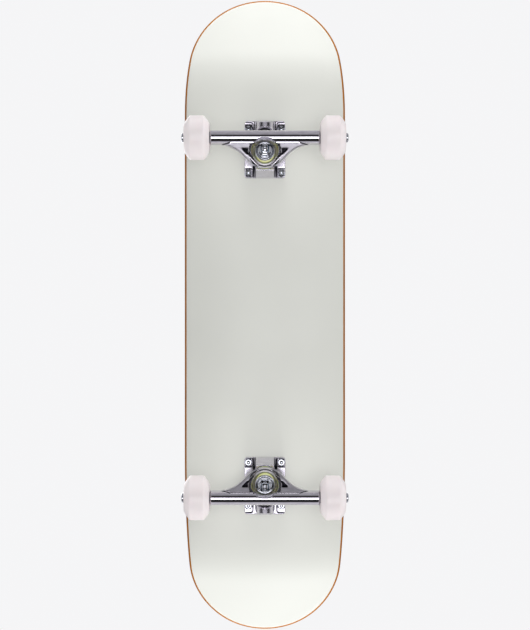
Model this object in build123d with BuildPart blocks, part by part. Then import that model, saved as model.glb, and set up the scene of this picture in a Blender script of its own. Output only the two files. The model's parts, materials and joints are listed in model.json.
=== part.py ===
from build123d import *
from math import asin, cos, degrees, radians, sin, tan
import os

# A street skateboard standing on its four wheels, in millimetres.
# +X points to the nose, +Y across the board and +Z up. The origin is on the ground, under the
# middle of the deck's length and width.
# A truck is drawn once in its own frame: its origin is the middle of its four bolts on the face
# that meets the deck, +X points away from the middle of the board, and everything hangs below z = 0.
# A wheel is drawn once about its own centre, with its axle along Y.

# ---- Deck ----
deck_width = 203.2
deck_thickness = 11.0
wheelbase = 362.0  # between the inner bolts of the two trucks
nose_reach = 175.2  # outer bolts to the nose tip
tail_reach = 166.8  # outer bolts to the tail tip
nose_radius = 97.2
tail_radius = 96.2
nose_blend = 57.0  # length over which the nose's side eases into the straight side
tail_blend = 130.0
concave_flat = 56.0  # flat strip along the middle
concave_rise = 9.5  # how far the edges stand above the flat strip
kick_start = 40.0  # outer bolts to the start of each bend
kick_radius = 160.0
nose_angle = 23.0
tail_angle = 21.5
edge_round = 3.5
grip_thickness = 0.9
grip_inset = 0.8
glue_line = 0.03

# ---- Truck bolts ----
bolt_spacing = 53.98  # along the board
bolt_gauge = 41.28  # across the board
bolt_diameter = 4.8
bolt_length = 25.4
bolt_head_diameter = 9.2
bolt_head_angle = 82.0
bolt_hole_play = 0.35  # radial, round each bolt
bolt_nut_flats = 9.5
bolt_nut_height = 5.5
thread_fit = 0.04  # radial, between a nut and its thread

# ---- Truck ----
truck_height = 53.0  # deck to the middle of the axle
axle_offset = 10.7  # the axle stands this far outside the middle of the bolts
axle_diameter = 7.94
axle_tip = 0.5  # past each nut
axle_fit = 0.03
axle_nut_flats = 12.7
axle_nut_height = 5.6
plate_width = 51.5
plate_inner_margin = 6.0  # beyond the inner bolts
plate_outer_margin = 11.0  # beyond the outer bolts
plate_corner = 4.0
plate_depth = 9.0
plate_floor = 5.5  # left under each nut
nut_pocket_width = 11.3
nut_pocket_length = 15.0
block_width = 23.0
block_groove = 3.5
block_wall = 14.0  # height of the block's end wall
kingpin_lean = 10.0  # from upright, towards the axle on its way down
kingpin_to_axle = 17.3  # between the two axes
kingpin_diameter = 9.52
kingpin_seat = 8.5  # the head bears this far down the kingpin's axis
kingpin_head_flats = 13.8
kingpin_head_height = 5.6
kingpin_head_play = 0.2
kingpin_play = 0.12
kingpin_tip = 2.0  # past the nut
kingpin_nut_flats = 14.3
kingpin_nut_height = 8.0
boss_rise = 24.2  # down the kingpin's axis, to the face under the board-side washer
boss_rim = 0.4  # of the boss, outside the washer
washer_thickness = 1.6
washer_cup_run = 2.0
washer_cup_depth = 1.2
board_washer_diameter = 27.0
road_washer_diameter = 24.0
board_bushing_diameter = 25.6
board_bushing_height = 15.0
board_bushing_chamfer = 2.2
road_bushing_diameter = 24.2
road_bushing_end = 21.4
road_bushing_height = 12.0
bushing_gap = 0.1  # between a bushing and the hanger's seat
ring_web = 6.0
ring_lip = 2.2
ring_wall = 2.6
ring_hole_diameter = 16.0
bushing_play = 0.7  # radial, round a bushing in the hanger
steer_angle = 35.5  # steering axis above the level, outwards
pivot_reach = 43.0  # middle of the ring to the middle of the pivot ball
pivot_ball_radius = 5.6
pivot_neck_radius = 6.5
pivot_root_radius = 8.5
pivot_root = 18.0  # from the ball's middle back to the root of the neck
pivot_play = 0.25
pivot_cup_wall = 1.9
pivot_cup_mouth = 6.5  # from the ball's middle to the cup's mouth
pivot_cup_nose = 2.2  # of the cup, past the ball
pivot_boss_wall = 2.6
pivot_boss_back = 1.4
cup_fit = 0.03

# ---- Hanger ----
hanger_width = 139.0
tube_diameter = 18.0
tube_end_diameter = 13.6
tube_end_length = 3.0
yoke_angle = 45.0  # each side of the yoke from the board's middle line
yoke_tip = 36.0  # axle to the tip of the yoke's V
yoke_tip_radius = 29.0
yoke_wing_radius = 38.0
yoke_reach = 62.5  # the yoke has run out into the tube by here
web_angle = 44.0
web_radius = 40.0
bowl_depth = 15.0
bowl_step = 0.5  # round the machined seat
bowl_width = 37.0
bowl_flare = 2.6  # the mouth's radius past the waist, below the axle
bowl_flare_depth = 3.5
bowl_to_axle = 0.5  # metal left in front of the axle
arm_thickness = 4.0
arm_pocket_depth = 13.0
arm_pocket_start = 13.0  # from the axle, towards the kingpin
arm_pocket_wall = 2.4  # between a pocket and the bowl

# ---- Wheels and bearings ----
wheel_diameter = 54.0
wheel_width = 31.0
tread_width = 17.0
shoulder_drop = 6.5  # from the tread to the edge between the shoulder's two cones
shoulder_rise = 1.8  # from that edge out to the side face
wheel_lip = 1.5  # flat ring round each recess
wheel_recess_diameter = 31.0
wheel_recess_depth = 3.0
wheel_core_diameter = 17.6
bearing_diameter = 22.0
bearing_width = 7.0
bearing_spacing = 10.0  # between a wheel's two bearings
inner_race_diameter = 12.1
race_gap = 0.25
speed_washer_thickness = 1.0
bearing_fit = 0.02

# ---- Derived ----
half_width = deck_width / 2
deck_length = nose_reach + tail_reach + wheelbase + 2 * bolt_spacing
nose_tip = deck_length / 2
tail_tip = -deck_length / 2
front_x = nose_tip - nose_reach - bolt_spacing / 2
rear_x = tail_tip + tail_reach + bolt_spacing / 2
axle_height = wheel_diameter / 2
deck_base = axle_height + truck_height
deck_top = deck_base + deck_thickness
nose_bend_x = front_x + bolt_spacing / 2 + kick_start
tail_bend_x = rear_x - bolt_spacing / 2 - kick_start
bolt_head_height = (bolt_head_diameter - bolt_diameter) / 2 / tan(radians(bolt_head_angle / 2))

# The kingpin: its axis leans, and passes the axle at a set distance.
lean = radians(kingpin_lean)
kingpin_x = axle_offset - (kingpin_to_axle + truck_height * sin(lean)) / cos(lean)
kingpin_origin = Vector(kingpin_x, 0, 0)
kingpin_down = Vector(sin(lean), 0, -cos(lean))
kingpin_out = Vector(cos(lean), 0, sin(lean))
kingpin_plane = Plane(origin=kingpin_origin, x_dir=kingpin_out, z_dir=kingpin_down)
kingpin_section = Plane(origin=kingpin_origin, x_dir=kingpin_out, z_dir=(0, 1, 0))
kingpin_axis = Axis(kingpin_origin, kingpin_down)

# What is stacked on the kingpin, as distances down its axis.
board_washer_end = boss_rise + washer_thickness
ring_top = board_washer_end + board_bushing_height
ring_bottom = ring_top + ring_web
road_washer_end = ring_bottom + road_bushing_height + washer_thickness
road_nut_end = road_washer_end + kingpin_nut_height
ring_bowl_radius = board_bushing_diameter / 2 + bushing_play
road_seat_radius = road_bushing_diameter / 2 + bushing_play

# The steering axis, from the middle of the hanger's ring to the middle of its pivot ball.
steer = radians(steer_angle)
steer_out = Vector(cos(steer), 0, sin(steer))
axle_centre = Vector(axle_offset, 0, -truck_height)
ring_centre = kingpin_origin + kingpin_down * (ring_top + ring_web / 2)
pivot_centre = ring_centre + steer_out * pivot_reach
steer_plane = Plane(origin=pivot_centre, x_dir=(0, 1, 0), z_dir=steer_out)
steer_section = Plane(origin=pivot_centre, x_dir=(0, 1, 0), z_dir=(sin(steer), 0, -cos(steer)))
steer_axis = Axis(pivot_centre, steer_out)

# The yoke's V in plan: where its two sides would meet, past the rounded tip.
yoke_turn = radians(yoke_angle)
yoke_apex = axle_offset - yoke_tip - yoke_tip_radius * (1 / sin(yoke_turn) - 1)

# What is stacked on the axle.
race_bore = axle_diameter + 2 * axle_fit
wheel_track = hanger_width + bearing_spacing + 2 * (speed_washer_thickness + bearing_width)
nut_start = wheel_track / 2 + bearing_spacing / 2 + bearing_width + speed_washer_thickness
axle_length = 2 * (nut_start + axle_nut_height + axle_tip)


def kingpin_point(distance):
    """The point at a distance down the kingpin's axis."""
    return kingpin_origin + kingpin_down * distance


def save(piece, name):
    """Labels a finished piece and writes it to its own file."""
    piece.label = name
    export_step(piece, f"parts/{name}.step")


def across_x(x, height):
    """A plane that looks along +X, with the board's width as its first axis and +Z as its second."""
    return Plane(origin=(x, 0, height), x_dir=(0, 1, 0), z_dir=(1, 0, 0))


def blend_radius(end_radius, blend):
    """Radius of the side arc that meets the straight side and an end arc without a corner."""
    narrow = half_width - end_radius
    return (blend**2 / narrow + end_radius + half_width) / 2


def layer_section(plane, low, high):
    """Section across the board of a layer between two heights above the deck's underside."""
    flat = concave_flat / 2
    run = half_width - flat
    radius = (run**2 + concave_rise**2) / (2 * concave_rise)
    turn = degrees(asin((run + deck_thickness) / radius))
    with BuildSketch(plane) as section:
        with BuildLine():
            under = Line((0, low), (flat, low))
            lower = JernArc(under @ 1, (1, 0), radius - low, turn)
            above = Line((0, high), (flat, high))
            upper = JernArc(above @ 1, (1, 0), radius - high, turn)
            Line(lower @ 1, upper @ 1)
            mirror(about=Plane.YZ)
        make_face()
    return section.sketch


def deck_outline(inset):
    """Plan of the deck: round ends, long easing arcs and straight sides."""
    nose_side = blend_radius(nose_radius, nose_blend)
    tail_side = blend_radius(tail_radius, tail_blend)
    nose_turn = degrees(asin(nose_blend / (nose_side - nose_radius)))
    tail_turn = degrees(asin(tail_blend / (tail_side - tail_radius)))
    nose_start = nose_tip - nose_radius - nose_blend
    tail_start = tail_tip + tail_radius + tail_blend
    with BuildSketch(Plane.XY) as outline:
        with BuildLine():
            Line((tail_start, half_width), (nose_start, half_width))
            nose_ease = JernArc((nose_start, half_width), (1, 0), nose_side, -nose_turn)
            JernArc(nose_ease @ 1, nose_ease % 1, nose_radius, nose_turn - 90)
            tail_ease = JernArc((tail_start, half_width), (-1, 0), tail_side, tail_turn)
            JernArc(tail_ease @ 1, tail_ease % 1, tail_radius, 90 - tail_turn)
            mirror(about=Plane.XZ)
        make_face()
        if inset:
            offset(amount=-inset)
    return outline.sketch


def kick(bend_x, tip_x, angle, low, high, towards):
    """One upturned end of a layer: the bend, then the straight kick past the outline."""
    middle = Vector(bend_x, 0, deck_base + kick_radius)
    turn = radians(angle)
    end = middle + Vector(towards * sin(turn), 0, -cos(turn)) * kick_radius
    run = (abs(tip_x - end.X) + deck_thickness) / cos(turn) + deck_thickness
    with BuildPart() as piece:
        revolve(
            layer_section(across_x(bend_x, deck_base), low, high),
            axis=Axis(middle, (0, -towards, 0)),
            revolution_arc=angle,
        )
        slope = Plane(origin=end, x_dir=(0, 1, 0), z_dir=(cos(turn), 0, towards * sin(turn)))
        extrude(layer_section(slope, low, high), amount=towards * run)
    return piece.part


def board_layer(low, high, inset):
    """A layer of the board between two heights above the underside, cut to the outline."""
    with BuildPart() as layer:
        flat = layer_section(across_x(tail_bend_x, deck_base), low, high)
        extrude(flat, amount=nose_bend_x - tail_bend_x)
        add(kick(nose_bend_x, nose_tip, nose_angle, low, high, 1))
        add(kick(tail_bend_x, tail_tip, tail_angle, low, high, -1))
        extrude(deck_outline(inset), amount=deck_top + deck_length / 4, mode=Mode.INTERSECT)
    return layer.part


# ---- Deck and grip tape ----
def make_deck():
    with BuildPart() as deck:
        add(board_layer(0, deck_thickness, 0))
        rim = deck.faces().filter_by(lambda face: abs(face.normal_at().Z) < 0.01)
        loops = rim.edges().filter_by(lambda edge: edge.bounding_box().size.Z < deck_thickness / 2)
        fillet(loops, radius=edge_round)
        for x in (front_x, rear_x):
            with Locations((x, 0, deck_top + grip_thickness)):
                with GridLocations(bolt_spacing, bolt_gauge, 2, 2):
                    CounterSinkHole(
                        radius=bolt_diameter / 2 + bolt_hole_play,
                        counter_sink_radius=bolt_head_diameter / 2 + bolt_hole_play,
                        counter_sink_angle=bolt_head_angle,
                    )
    save(deck.part, "deck")


def make_grip_tape():
    low = deck_thickness + glue_line
    with BuildPart() as grip_tape:
        add(board_layer(low, low + grip_thickness, grip_inset + edge_round))
        for x in (front_x, rear_x):
            with Locations((x, 0, deck_top + 2 * grip_thickness)):
                with GridLocations(bolt_spacing, bolt_gauge, 2, 2):
                    Hole(radius=bolt_head_diameter / 2 + bolt_hole_play)
    save(grip_tape.part, "grip_tape")


# ---- Truck: the parts that stay with the board ----
def make_mounting_bolts():
    """Four countersunk bolts, their heads level with the grip tape."""
    with BuildPart() as bolts:
        with Locations((0, 0, deck_thickness + grip_thickness)):
            with GridLocations(bolt_spacing, bolt_gauge, 2, 2):
                Cone(
                    bolt_diameter / 2,
                    bolt_head_diameter / 2,
                    bolt_head_height,
                    align=(Align.CENTER, Align.CENTER, Align.MAX),
                )
                Cylinder(
                    bolt_diameter / 2,
                    bolt_length,
                    align=(Align.CENTER, Align.CENTER, Align.MAX),
                )
    return bolts.part


def make_mounting_nuts():
    with BuildPart() as nuts:
        with BuildSketch(Plane.XY.offset(-plate_floor)):
            with GridLocations(bolt_spacing, bolt_gauge, 2, 2):
                RegularPolygon(bolt_nut_flats / 2, 6, major_radius=False)
                Circle(bolt_diameter / 2 + thread_fit, mode=Mode.SUBTRACT)
        extrude(amount=-bolt_nut_height)
    return nuts.part


def plate_outline(plane):
    """Rounded rectangle of the baseplate, a margin wider than its bolts at each end."""
    inner = -bolt_spacing / 2 - plate_inner_margin
    outer = bolt_spacing / 2 + plate_outer_margin
    with BuildSketch(plane) as outline:
        with Locations(((inner + outer) / 2, 0)):
            RectangleRounded(outer - inner, plate_width, plate_corner)
    return outline.sketch


def make_baseplate():
    """Cast plate with nut pockets, the kingpin's block and boss, and the pivot cup's boss."""
    inner = -bolt_spacing / 2 - plate_inner_margin
    boss_radius = board_washer_diameter / 2 + boss_rim
    boss_face = kingpin_point(boss_rise)
    boss_inner = boss_face - kingpin_out * boss_radius
    boss_outer = boss_face + kingpin_out * boss_radius
    cup_radius = pivot_neck_radius + pivot_play + pivot_cup_wall + cup_fit
    shell_radius = cup_radius + pivot_boss_wall
    shell_length = pivot_cup_mouth + pivot_ball_radius + pivot_cup_nose + pivot_boss_back
    deep = -2 * truck_height
    with BuildPart() as baseplate:
        with BuildSketch(Plane.XZ):
            Polygon(
                (inner, 0),
                (inner, -block_wall),
                (boss_inner.X, boss_inner.Z),
                (boss_outer.X, boss_outer.Z),
                (boss_outer.X, 0),
                align=None,
            )
        extrude(amount=block_width / 2, both=True)
        with BuildSketch(kingpin_plane.offset(boss_rise)):
            Circle(boss_radius)
        extrude(amount=-boss_rise)
        with BuildSketch(steer_plane.offset(-pivot_cup_mouth)):
            Circle(shell_radius)
            with Locations((0, truck_height / 2)):
                Rectangle(2 * shell_radius, truck_height)
        extrude(amount=shell_length)
        extrude(plate_outline(Plane.XY), amount=deep, mode=Mode.INTERSECT)
        extrude(plate_outline(Plane.XY), amount=-plate_depth)
        # The boss face stays clear of the plate's own underside.
        with BuildSketch(kingpin_plane.offset(boss_rise)):
            Circle(boss_radius + boss_rim)
        extrude(amount=truck_height, mode=Mode.SUBTRACT)
        # Pockets that hold the four nuts, long ones at the outer end.
        with BuildSketch(Plane.XY.offset(-plate_floor)):
            for end in (-1, 1):
                length = nut_pocket_length if end > 0 else nut_pocket_width
                middle = end * (bolt_spacing + length - nut_pocket_width) / 2
                with Locations((middle, 0)):
                    with GridLocations(1, bolt_gauge, 1, 2):
                        RectangleRounded(length, nut_pocket_width, bolt_diameter / 2)
        extrude(amount=-plate_depth, mode=Mode.SUBTRACT)
        # Grooves that part the kingpin block from the two inner lugs.
        with BuildSketch(Plane.XY.offset(-plate_floor / 2)):
            with Locations((inner, 0)):
                with GridLocations(1, block_width + block_groove, 1, 2):
                    SlotOverall(nut_pocket_length * 2, block_groove)
        extrude(amount=-plate_depth, mode=Mode.SUBTRACT)
        with GridLocations(bolt_spacing, bolt_gauge, 2, 2):
            Hole(radius=bolt_diameter / 2 + bolt_hole_play)
        # The kingpin's hole, and the hexagonal pocket that holds its head.
        with BuildSketch(kingpin_plane):
            Circle(kingpin_diameter / 2 + kingpin_play)
        extrude(amount=truck_height, both=True, mode=Mode.SUBTRACT)
        with BuildSketch(kingpin_plane.offset(kingpin_seat)):
            RegularPolygon(kingpin_head_flats / 2 + kingpin_head_play, 6, major_radius=False, rotation=30)
        extrude(amount=-2 * kingpin_seat, mode=Mode.SUBTRACT)
        # The seat of the pivot cup.
        with BuildSketch(steer_section):
            Polygon(*cup_outside(cup_fit), align=None)
        revolve(axis=steer_axis, mode=Mode.SUBTRACT)
    return baseplate.part


def cup_outside(play):
    """Half profile of the pivot cup's outside, a play larger, as (radius, distance past the ball)."""
    radius = pivot_neck_radius + pivot_play + pivot_cup_wall + play
    back = pivot_ball_radius + pivot_cup_nose + play
    return (
        (0, -pivot_cup_mouth),
        (radius, -pivot_cup_mouth),
        (radius, pivot_ball_radius / 2),
        (pivot_ball_radius, back),
        (0, back),
    )


def make_pivot_cup():
    """Urethane cup that the hanger's pivot turns in."""
    with BuildPart() as pivot_cup:
        with BuildSketch(steer_section):
            Polygon(*cup_outside(0), align=None)
        revolve(axis=steer_axis)
        add(pivot_solid(pivot_play), mode=Mode.SUBTRACT)
    return pivot_cup.part


def pivot_solid(play):
    """The hanger's pivot, a play larger all round: a ball on a slightly tapered neck."""
    with BuildPart() as pivot:
        with BuildSketch(steer_section):
            with BuildLine():
                Line((0, -pivot_root), (pivot_root_radius + play, -pivot_root))
                Line((pivot_root_radius + play, -pivot_root), (pivot_neck_radius + play, -pivot_cup_mouth))
                Line((pivot_neck_radius + play, -pivot_cup_mouth), (pivot_ball_radius + play, 0))
                CenterArc((0, 0), pivot_ball_radius + play, 0, 90)
                Line((0, pivot_ball_radius + play), (0, -pivot_root))
            make_face()
        revolve(axis=steer_axis)
    return pivot.part


def make_kingpin():
    length = road_nut_end + kingpin_tip - kingpin_seat
    with BuildPart() as kingpin:
        with BuildSketch(kingpin_plane.offset(kingpin_seat)):
            RegularPolygon(kingpin_head_flats / 2, 6, major_radius=False, rotation=30)
        extrude(amount=-kingpin_head_height)
        with BuildSketch(kingpin_plane.offset(kingpin_seat)):
            Circle(kingpin_diameter / 2)
        extrude(amount=length)
    return kingpin.part


def make_kingpin_nut():
    with BuildPart() as kingpin_nut:
        with BuildSketch(kingpin_plane.offset(road_washer_end)):
            RegularPolygon(kingpin_nut_flats / 2, 6, major_radius=False)
            Circle(kingpin_diameter / 2 + thread_fit, mode=Mode.SUBTRACT)
        extrude(amount=kingpin_nut_height)
    return kingpin_nut.part


def make_washer(diameter, seat, towards):
    """Cupped washer whose flat lies at a distance down the kingpin, its rim turned to the bushing."""
    inside = kingpin_diameter / 2 + kingpin_play
    rim = diameter / 2
    flat = rim - washer_cup_run
    with BuildPart() as washer:
        with BuildSketch(kingpin_section):
            Polygon(
                (inside, seat),
                (flat, seat),
                (rim, seat + towards * washer_cup_depth),
                (rim, seat + towards * (washer_cup_depth + washer_thickness)),
                (flat, seat + towards * washer_thickness),
                (inside, seat + towards * washer_thickness),
                align=None,
            )
        revolve(axis=kingpin_axis)
    return washer.part


def make_board_side_bushing():
    """Upper bushing: a plain barrel, chamfered where the washer cups it."""
    radius = board_bushing_diameter / 2
    inside = kingpin_diameter / 2 + kingpin_play
    with BuildPart() as bushing:
        with BuildSketch(kingpin_section):
            Polygon(
                (inside, board_washer_end),
                (radius - board_bushing_chamfer, board_washer_end),
                (radius, board_washer_end + board_bushing_chamfer),
                (radius, ring_top - bushing_gap),
                (inside, ring_top - bushing_gap),
                align=None,
            )
        revolve(axis=kingpin_axis)
    return bushing.part


def make_road_side_bushing():
    """Lower bushing: a cone that narrows to the washer under the nut."""
    inside = kingpin_diameter / 2 + kingpin_play
    end = road_washer_end - washer_thickness
    with BuildPart() as bushing:
        with BuildSketch(kingpin_section):
            Polygon(
                (inside, ring_bottom + bushing_gap),
                (road_bushing_diameter / 2, ring_bottom + bushing_gap),
                (road_bushing_diameter / 2, ring_bottom + ring_lip),
                (road_bushing_end / 2, end - washer_cup_depth),
                (road_bushing_end / 2 - washer_cup_depth, end),
                (inside, end),
                align=None,
            )
        revolve(axis=kingpin_axis)
    return bushing.part


# ---- Truck: the parts that steer with the hanger ----
def yoke_outline():
    """Plan of the hanger: a V with a rounded tip, eased into the axle tube on both sides."""
    edge = axle_offset - tube_diameter / 2
    corner = (edge - yoke_apex) * tan(yoke_turn)
    with BuildSketch(Plane.XY) as outline:
        Polygon(
            (yoke_apex, 0),
            (edge, corner),
            (edge, yoke_reach),
            (axle_offset + tube_diameter / 2, yoke_reach),
            (axle_offset + tube_diameter / 2, -yoke_reach),
            (edge, -yoke_reach),
            (edge, -corner),
            align=None,
        )
        fillet(outline.vertices().sort_by(Axis.X)[0], radius=yoke_tip_radius)
        wings = outline.vertices().filter_by(lambda v: abs(abs(v.Y) - corner) < 0.01)
        fillet(wings, radius=yoke_wing_radius)
    return outline.sketch


def arm_pockets():
    """Two blind pockets in the underside that part the yoke's arms from the bushing ring."""
    radius = ring_bowl_radius + ring_wall
    start = axle_offset - arm_pocket_start
    inner = yoke_apex + arm_thickness / sin(yoke_turn)
    floor = ring_centre.Z - ring_web
    with BuildSketch(Plane.XY.offset(floor - arm_pocket_depth)) as pockets:
        Polygon(
            (inner, 0),
            (start, (start - inner) * tan(yoke_turn)),
            (start, -(start - inner) * tan(yoke_turn)),
            align=None,
        )
        with Locations((ring_centre.X + kingpin_down.X * bowl_depth / 2, 0)):
            Ellipse(radius, bowl_width / 2 + arm_pocket_wall, mode=Mode.SUBTRACT)
        with Locations((ring_centre.X, 0)):
            Circle(radius, mode=Mode.SUBTRACT)
        fillet(pockets.vertices().filter_by(lambda v: v.X > start - 0.01), radius=1)
    return pockets.sketch


def hanger_side():
    """Side view of the hanger's middle: ring, tube and the root of the pivot."""
    radius = ring_bowl_radius + ring_wall
    root = pivot_centre - steer_out * pivot_root
    up = Vector(-steer_out.Z, 0, steer_out.X)
    wall = kingpin_out * (ring_bowl_radius + ring_wall)
    past = kingpin_out * (radius + ring_wall)
    inner_top = ring_centre - past - kingpin_down * (ring_web / 2 + bushing_gap)
    inner_low = ring_centre - past + kingpin_down * (ring_web / 2 + ring_lip / 2)
    wall_low = ring_centre + wall - kingpin_down * (ring_web / 2 + bushing_gap)
    wall_top = ring_centre + wall - kingpin_down * (board_bushing_height * 0.7)
    points = (
        inner_top,
        inner_low,
        axle_centre - Vector(0, 0, tube_diameter / 2),
        axle_centre + Vector(tube_diameter / 2, 0, -tube_diameter / 8),
        axle_centre + Vector(tube_diameter / 2, 0, tube_diameter / 8),
        root - up * pivot_root_radius,
        root + up * pivot_root_radius,
        wall_top,
        wall_low,
    )
    with BuildSketch(Plane.XZ) as side:
        Polygon(*((point.X, point.Z) for point in points), align=None)
    return side.sketch


def hanger_front():
    """End view of the hanger: a web that falls from the pivot and runs out into the tube."""
    top = pivot_centre.Z
    axle = axle_centre.Z
    tube_top = axle + tube_diameter / 2
    foot = pivot_root_radius + (top - tube_top) / tan(radians(web_angle))
    with BuildSketch(Plane.YZ) as front:
        Polygon(
            (0, top),
            (pivot_root_radius, top),
            (foot, tube_top),
            (yoke_reach, axle),
            (foot, axle - tube_diameter / 2),
            (0, axle - tube_diameter / 2),
            align=None,
        )
        fillet(front.vertices().filter_by(lambda v: abs(v.X - foot) < 0.01), radius=web_radius)
        mirror(about=Plane.YZ)
    return front.sketch


def make_hanger():
    """Cast hanger: axle tube, winged yoke with the bushing ring, and the pivot."""
    seat_radius = ring_bowl_radius
    far = 3 * truck_height
    with BuildPart() as hanger:
        extrude(hanger_side(), amount=yoke_reach, both=True)
        extrude(yoke_outline(), amount=-far, mode=Mode.INTERSECT)
        extrude(hanger_front(), amount=far, both=True, mode=Mode.INTERSECT)
        tube = Plane(origin=axle_centre, x_dir=(1, 0, 0), z_dir=(0, 1, 0))
        with BuildSketch(tube):
            Circle(tube_diameter / 2)
        extrude(amount=hanger_width / 2 - tube_end_length, both=True)
        with BuildSketch(tube):
            Circle(tube_end_diameter / 2)
        extrude(amount=hanger_width / 2, both=True)
        add(pivot_solid(0))
        # Seats for the two bushings, and the hole that the kingpin passes with room to lean.
        with BuildSketch(kingpin_plane.offset(ring_top)):
            Circle(seat_radius)
        extrude(amount=-truck_height, mode=Mode.SUBTRACT)
        with BuildSketch(kingpin_plane.offset(ring_bottom)):
            Circle(road_seat_radius)
        extrude(amount=ring_lip, mode=Mode.SUBTRACT)
        with BuildSketch(kingpin_plane.offset(ring_top)):
            Circle(ring_hole_diameter / 2)
        extrude(amount=ring_web, mode=Mode.SUBTRACT)
        # The bowl round the road-side bushing, washer and nut, flared once it is past the axle.
        reach = kingpin_to_axle - axle_diameter / 2 - axle_fit - bowl_to_axle
        with BuildPart(mode=Mode.PRIVATE) as bowl:
            with BuildSketch(kingpin_plane.offset(ring_bottom + ring_lip)):
                Circle(road_seat_radius + bowl_step)
            with BuildSketch(kingpin_plane.offset(ring_bottom + bowl_depth)):
                Ellipse(reach, bowl_width / 2)
            loft()
            with BuildSketch(kingpin_plane.offset(ring_bottom + bowl_depth)):
                Ellipse(reach, bowl_width / 2)
            with BuildSketch(kingpin_plane.offset(ring_bottom + bowl_depth + bowl_flare_depth)):
                Ellipse(reach + bowl_flare, bowl_width / 2 + bowl_flare / 2)
            loft()
            with BuildSketch(kingpin_plane.offset(ring_bottom + bowl_depth + bowl_flare_depth)):
                Ellipse(reach + bowl_flare, bowl_width / 2 + bowl_flare / 2)
            extrude(amount=truck_height)
        add(bowl.part, mode=Mode.SUBTRACT)
        extrude(arm_pockets(), amount=arm_pocket_depth, mode=Mode.SUBTRACT)
        with BuildSketch(tube):
            Circle(axle_diameter / 2 + axle_fit)
        extrude(amount=hanger_width, both=True, mode=Mode.SUBTRACT)
    return hanger.part


def make_axle():
    with BuildPart() as axle:
        with BuildSketch(Plane(origin=axle_centre, x_dir=(1, 0, 0), z_dir=(0, 1, 0))):
            Circle(axle_diameter / 2)
        extrude(amount=axle_length / 2, both=True)
    return axle.part


def axle_rings(positions, width, outside, inside):
    """Equal rings on the axle, each centred at a distance across the board."""
    with BuildPart() as rings:
        for y in positions:
            with BuildSketch(Plane(origin=(axle_offset, y - width / 2, -truck_height), z_dir=(0, 1, 0))):
                Circle(outside)
                Circle(inside, mode=Mode.SUBTRACT)
            extrude(amount=width)
    return rings.part


def bearing_places(side):
    """Where the middles of a wheel's two bearings lie across the board."""
    middle = side * wheel_track / 2
    half = (bearing_spacing + bearing_width) / 2
    return (middle - half, middle + half)


def make_inner_races():
    places = (*bearing_places(-1), *bearing_places(1))
    return axle_rings(places, bearing_width, inner_race_diameter / 2, race_bore / 2)


def make_speed_washers():
    half = (bearing_spacing + 2 * bearing_width + speed_washer_thickness) / 2
    middles = (-wheel_track / 2, wheel_track / 2)
    places = [middle + end * half for middle in middles for end in (-1, 1)]
    return axle_rings(places, speed_washer_thickness, inner_race_diameter / 2, race_bore / 2)


def make_axle_nuts():
    with BuildPart() as axle_nuts:
        for y in (-nut_start - axle_nut_height, nut_start):
            with BuildSketch(Plane(origin=(axle_offset, y, -truck_height), z_dir=(0, 1, 0))):
                RegularPolygon(axle_nut_flats / 2, 6, major_radius=False)
                Circle(race_bore / 2, mode=Mode.SUBTRACT)
            extrude(amount=axle_nut_height)
    return axle_nuts.part


# ---- Wheels ----
def make_wheel():
    """Cast urethane wheel: flat tread, conical shoulders, dished sides and two bearing seats."""
    radius = wheel_diameter / 2
    half = wheel_width / 2
    seat = bearing_diameter / 2 + bearing_fit
    mouth = bearing_spacing / 2 + bearing_width
    with BuildPart() as wheel:
        with BuildSketch(Plane.XY):
            with BuildLine():
                Polyline(
                    (radius, 0),
                    (radius, tread_width / 2),
                    (radius - shoulder_drop, half - shoulder_rise),
                    (wheel_recess_diameter / 2 + wheel_lip, half),
                    (wheel_recess_diameter / 2, half),
                    (seat + 1, half - wheel_recess_depth),
                    (seat, half - wheel_recess_depth),
                    (seat, mouth - bearing_width),
                    (wheel_core_diameter / 2, mouth - bearing_width),
                    (wheel_core_diameter / 2, 0),
                )
                mirror(about=Plane.XZ)
            make_face()
        revolve(axis=Axis.Y)
    return wheel.part


def make_outer_races():
    """The two bearings of a wheel: outer races with the shields pressed into them."""
    half = (bearing_spacing + bearing_width) / 2
    inside = inner_race_diameter / 2 + race_gap
    with BuildPart() as races:
        for middle in (-half, half):
            with BuildSketch(Plane(origin=(0, middle - bearing_width / 2, 0), z_dir=(0, 1, 0))):
                Circle(bearing_diameter / 2)
                Circle(inside, mode=Mode.SUBTRACT)
            extrude(amount=bearing_width)
    return races.part


def save_at(piece, place, name):
    """Writes a copy of a piece where it stands on the board."""
    save(piece.moved(place), name)


if __name__ == "__main__":
    os.makedirs("parts", exist_ok=True)
    make_deck()
    make_grip_tape()
    truck = {
        "baseplate": make_baseplate(),
        "pivot_cup": make_pivot_cup(),
        "kingpin": make_kingpin(),
        "kingpin_nut": make_kingpin_nut(),
        "board_side_washer": make_washer(board_washer_diameter, boss_rise, 1),
        "board_side_bushing": make_board_side_bushing(),
        "road_side_bushing": make_road_side_bushing(),
        "road_side_washer": make_washer(road_washer_diameter, road_washer_end, -1),
        "mounting_bolts": make_mounting_bolts(),
        "mounting_nuts": make_mounting_nuts(),
        "hanger": make_hanger(),
        "axle": make_axle(),
        "bearing_inner_races": make_inner_races(),
        "speed_washers": make_speed_washers(),
        "axle_nuts": make_axle_nuts(),
    }
    wheel = {"wheel": make_wheel(), "bearing_outer_races": make_outer_races()}
    for end, x, turn in (("front", front_x, 0), ("rear", rear_x, 180)):
        truck_place = Location((x, 0, deck_base), (0, 0, turn))
        for name, piece in truck.items():
            save_at(piece, truck_place, f"{end}_{name}")
        for side, y in (("left", wheel_track / 2), ("right", -wheel_track / 2)):
            axle_x = x + (axle_offset if turn == 0 else -axle_offset)
            for name, piece in wheel.items():
                save_at(piece, Location((axle_x, y, axle_height)), f"{end}_{side}_{name}")
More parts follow.
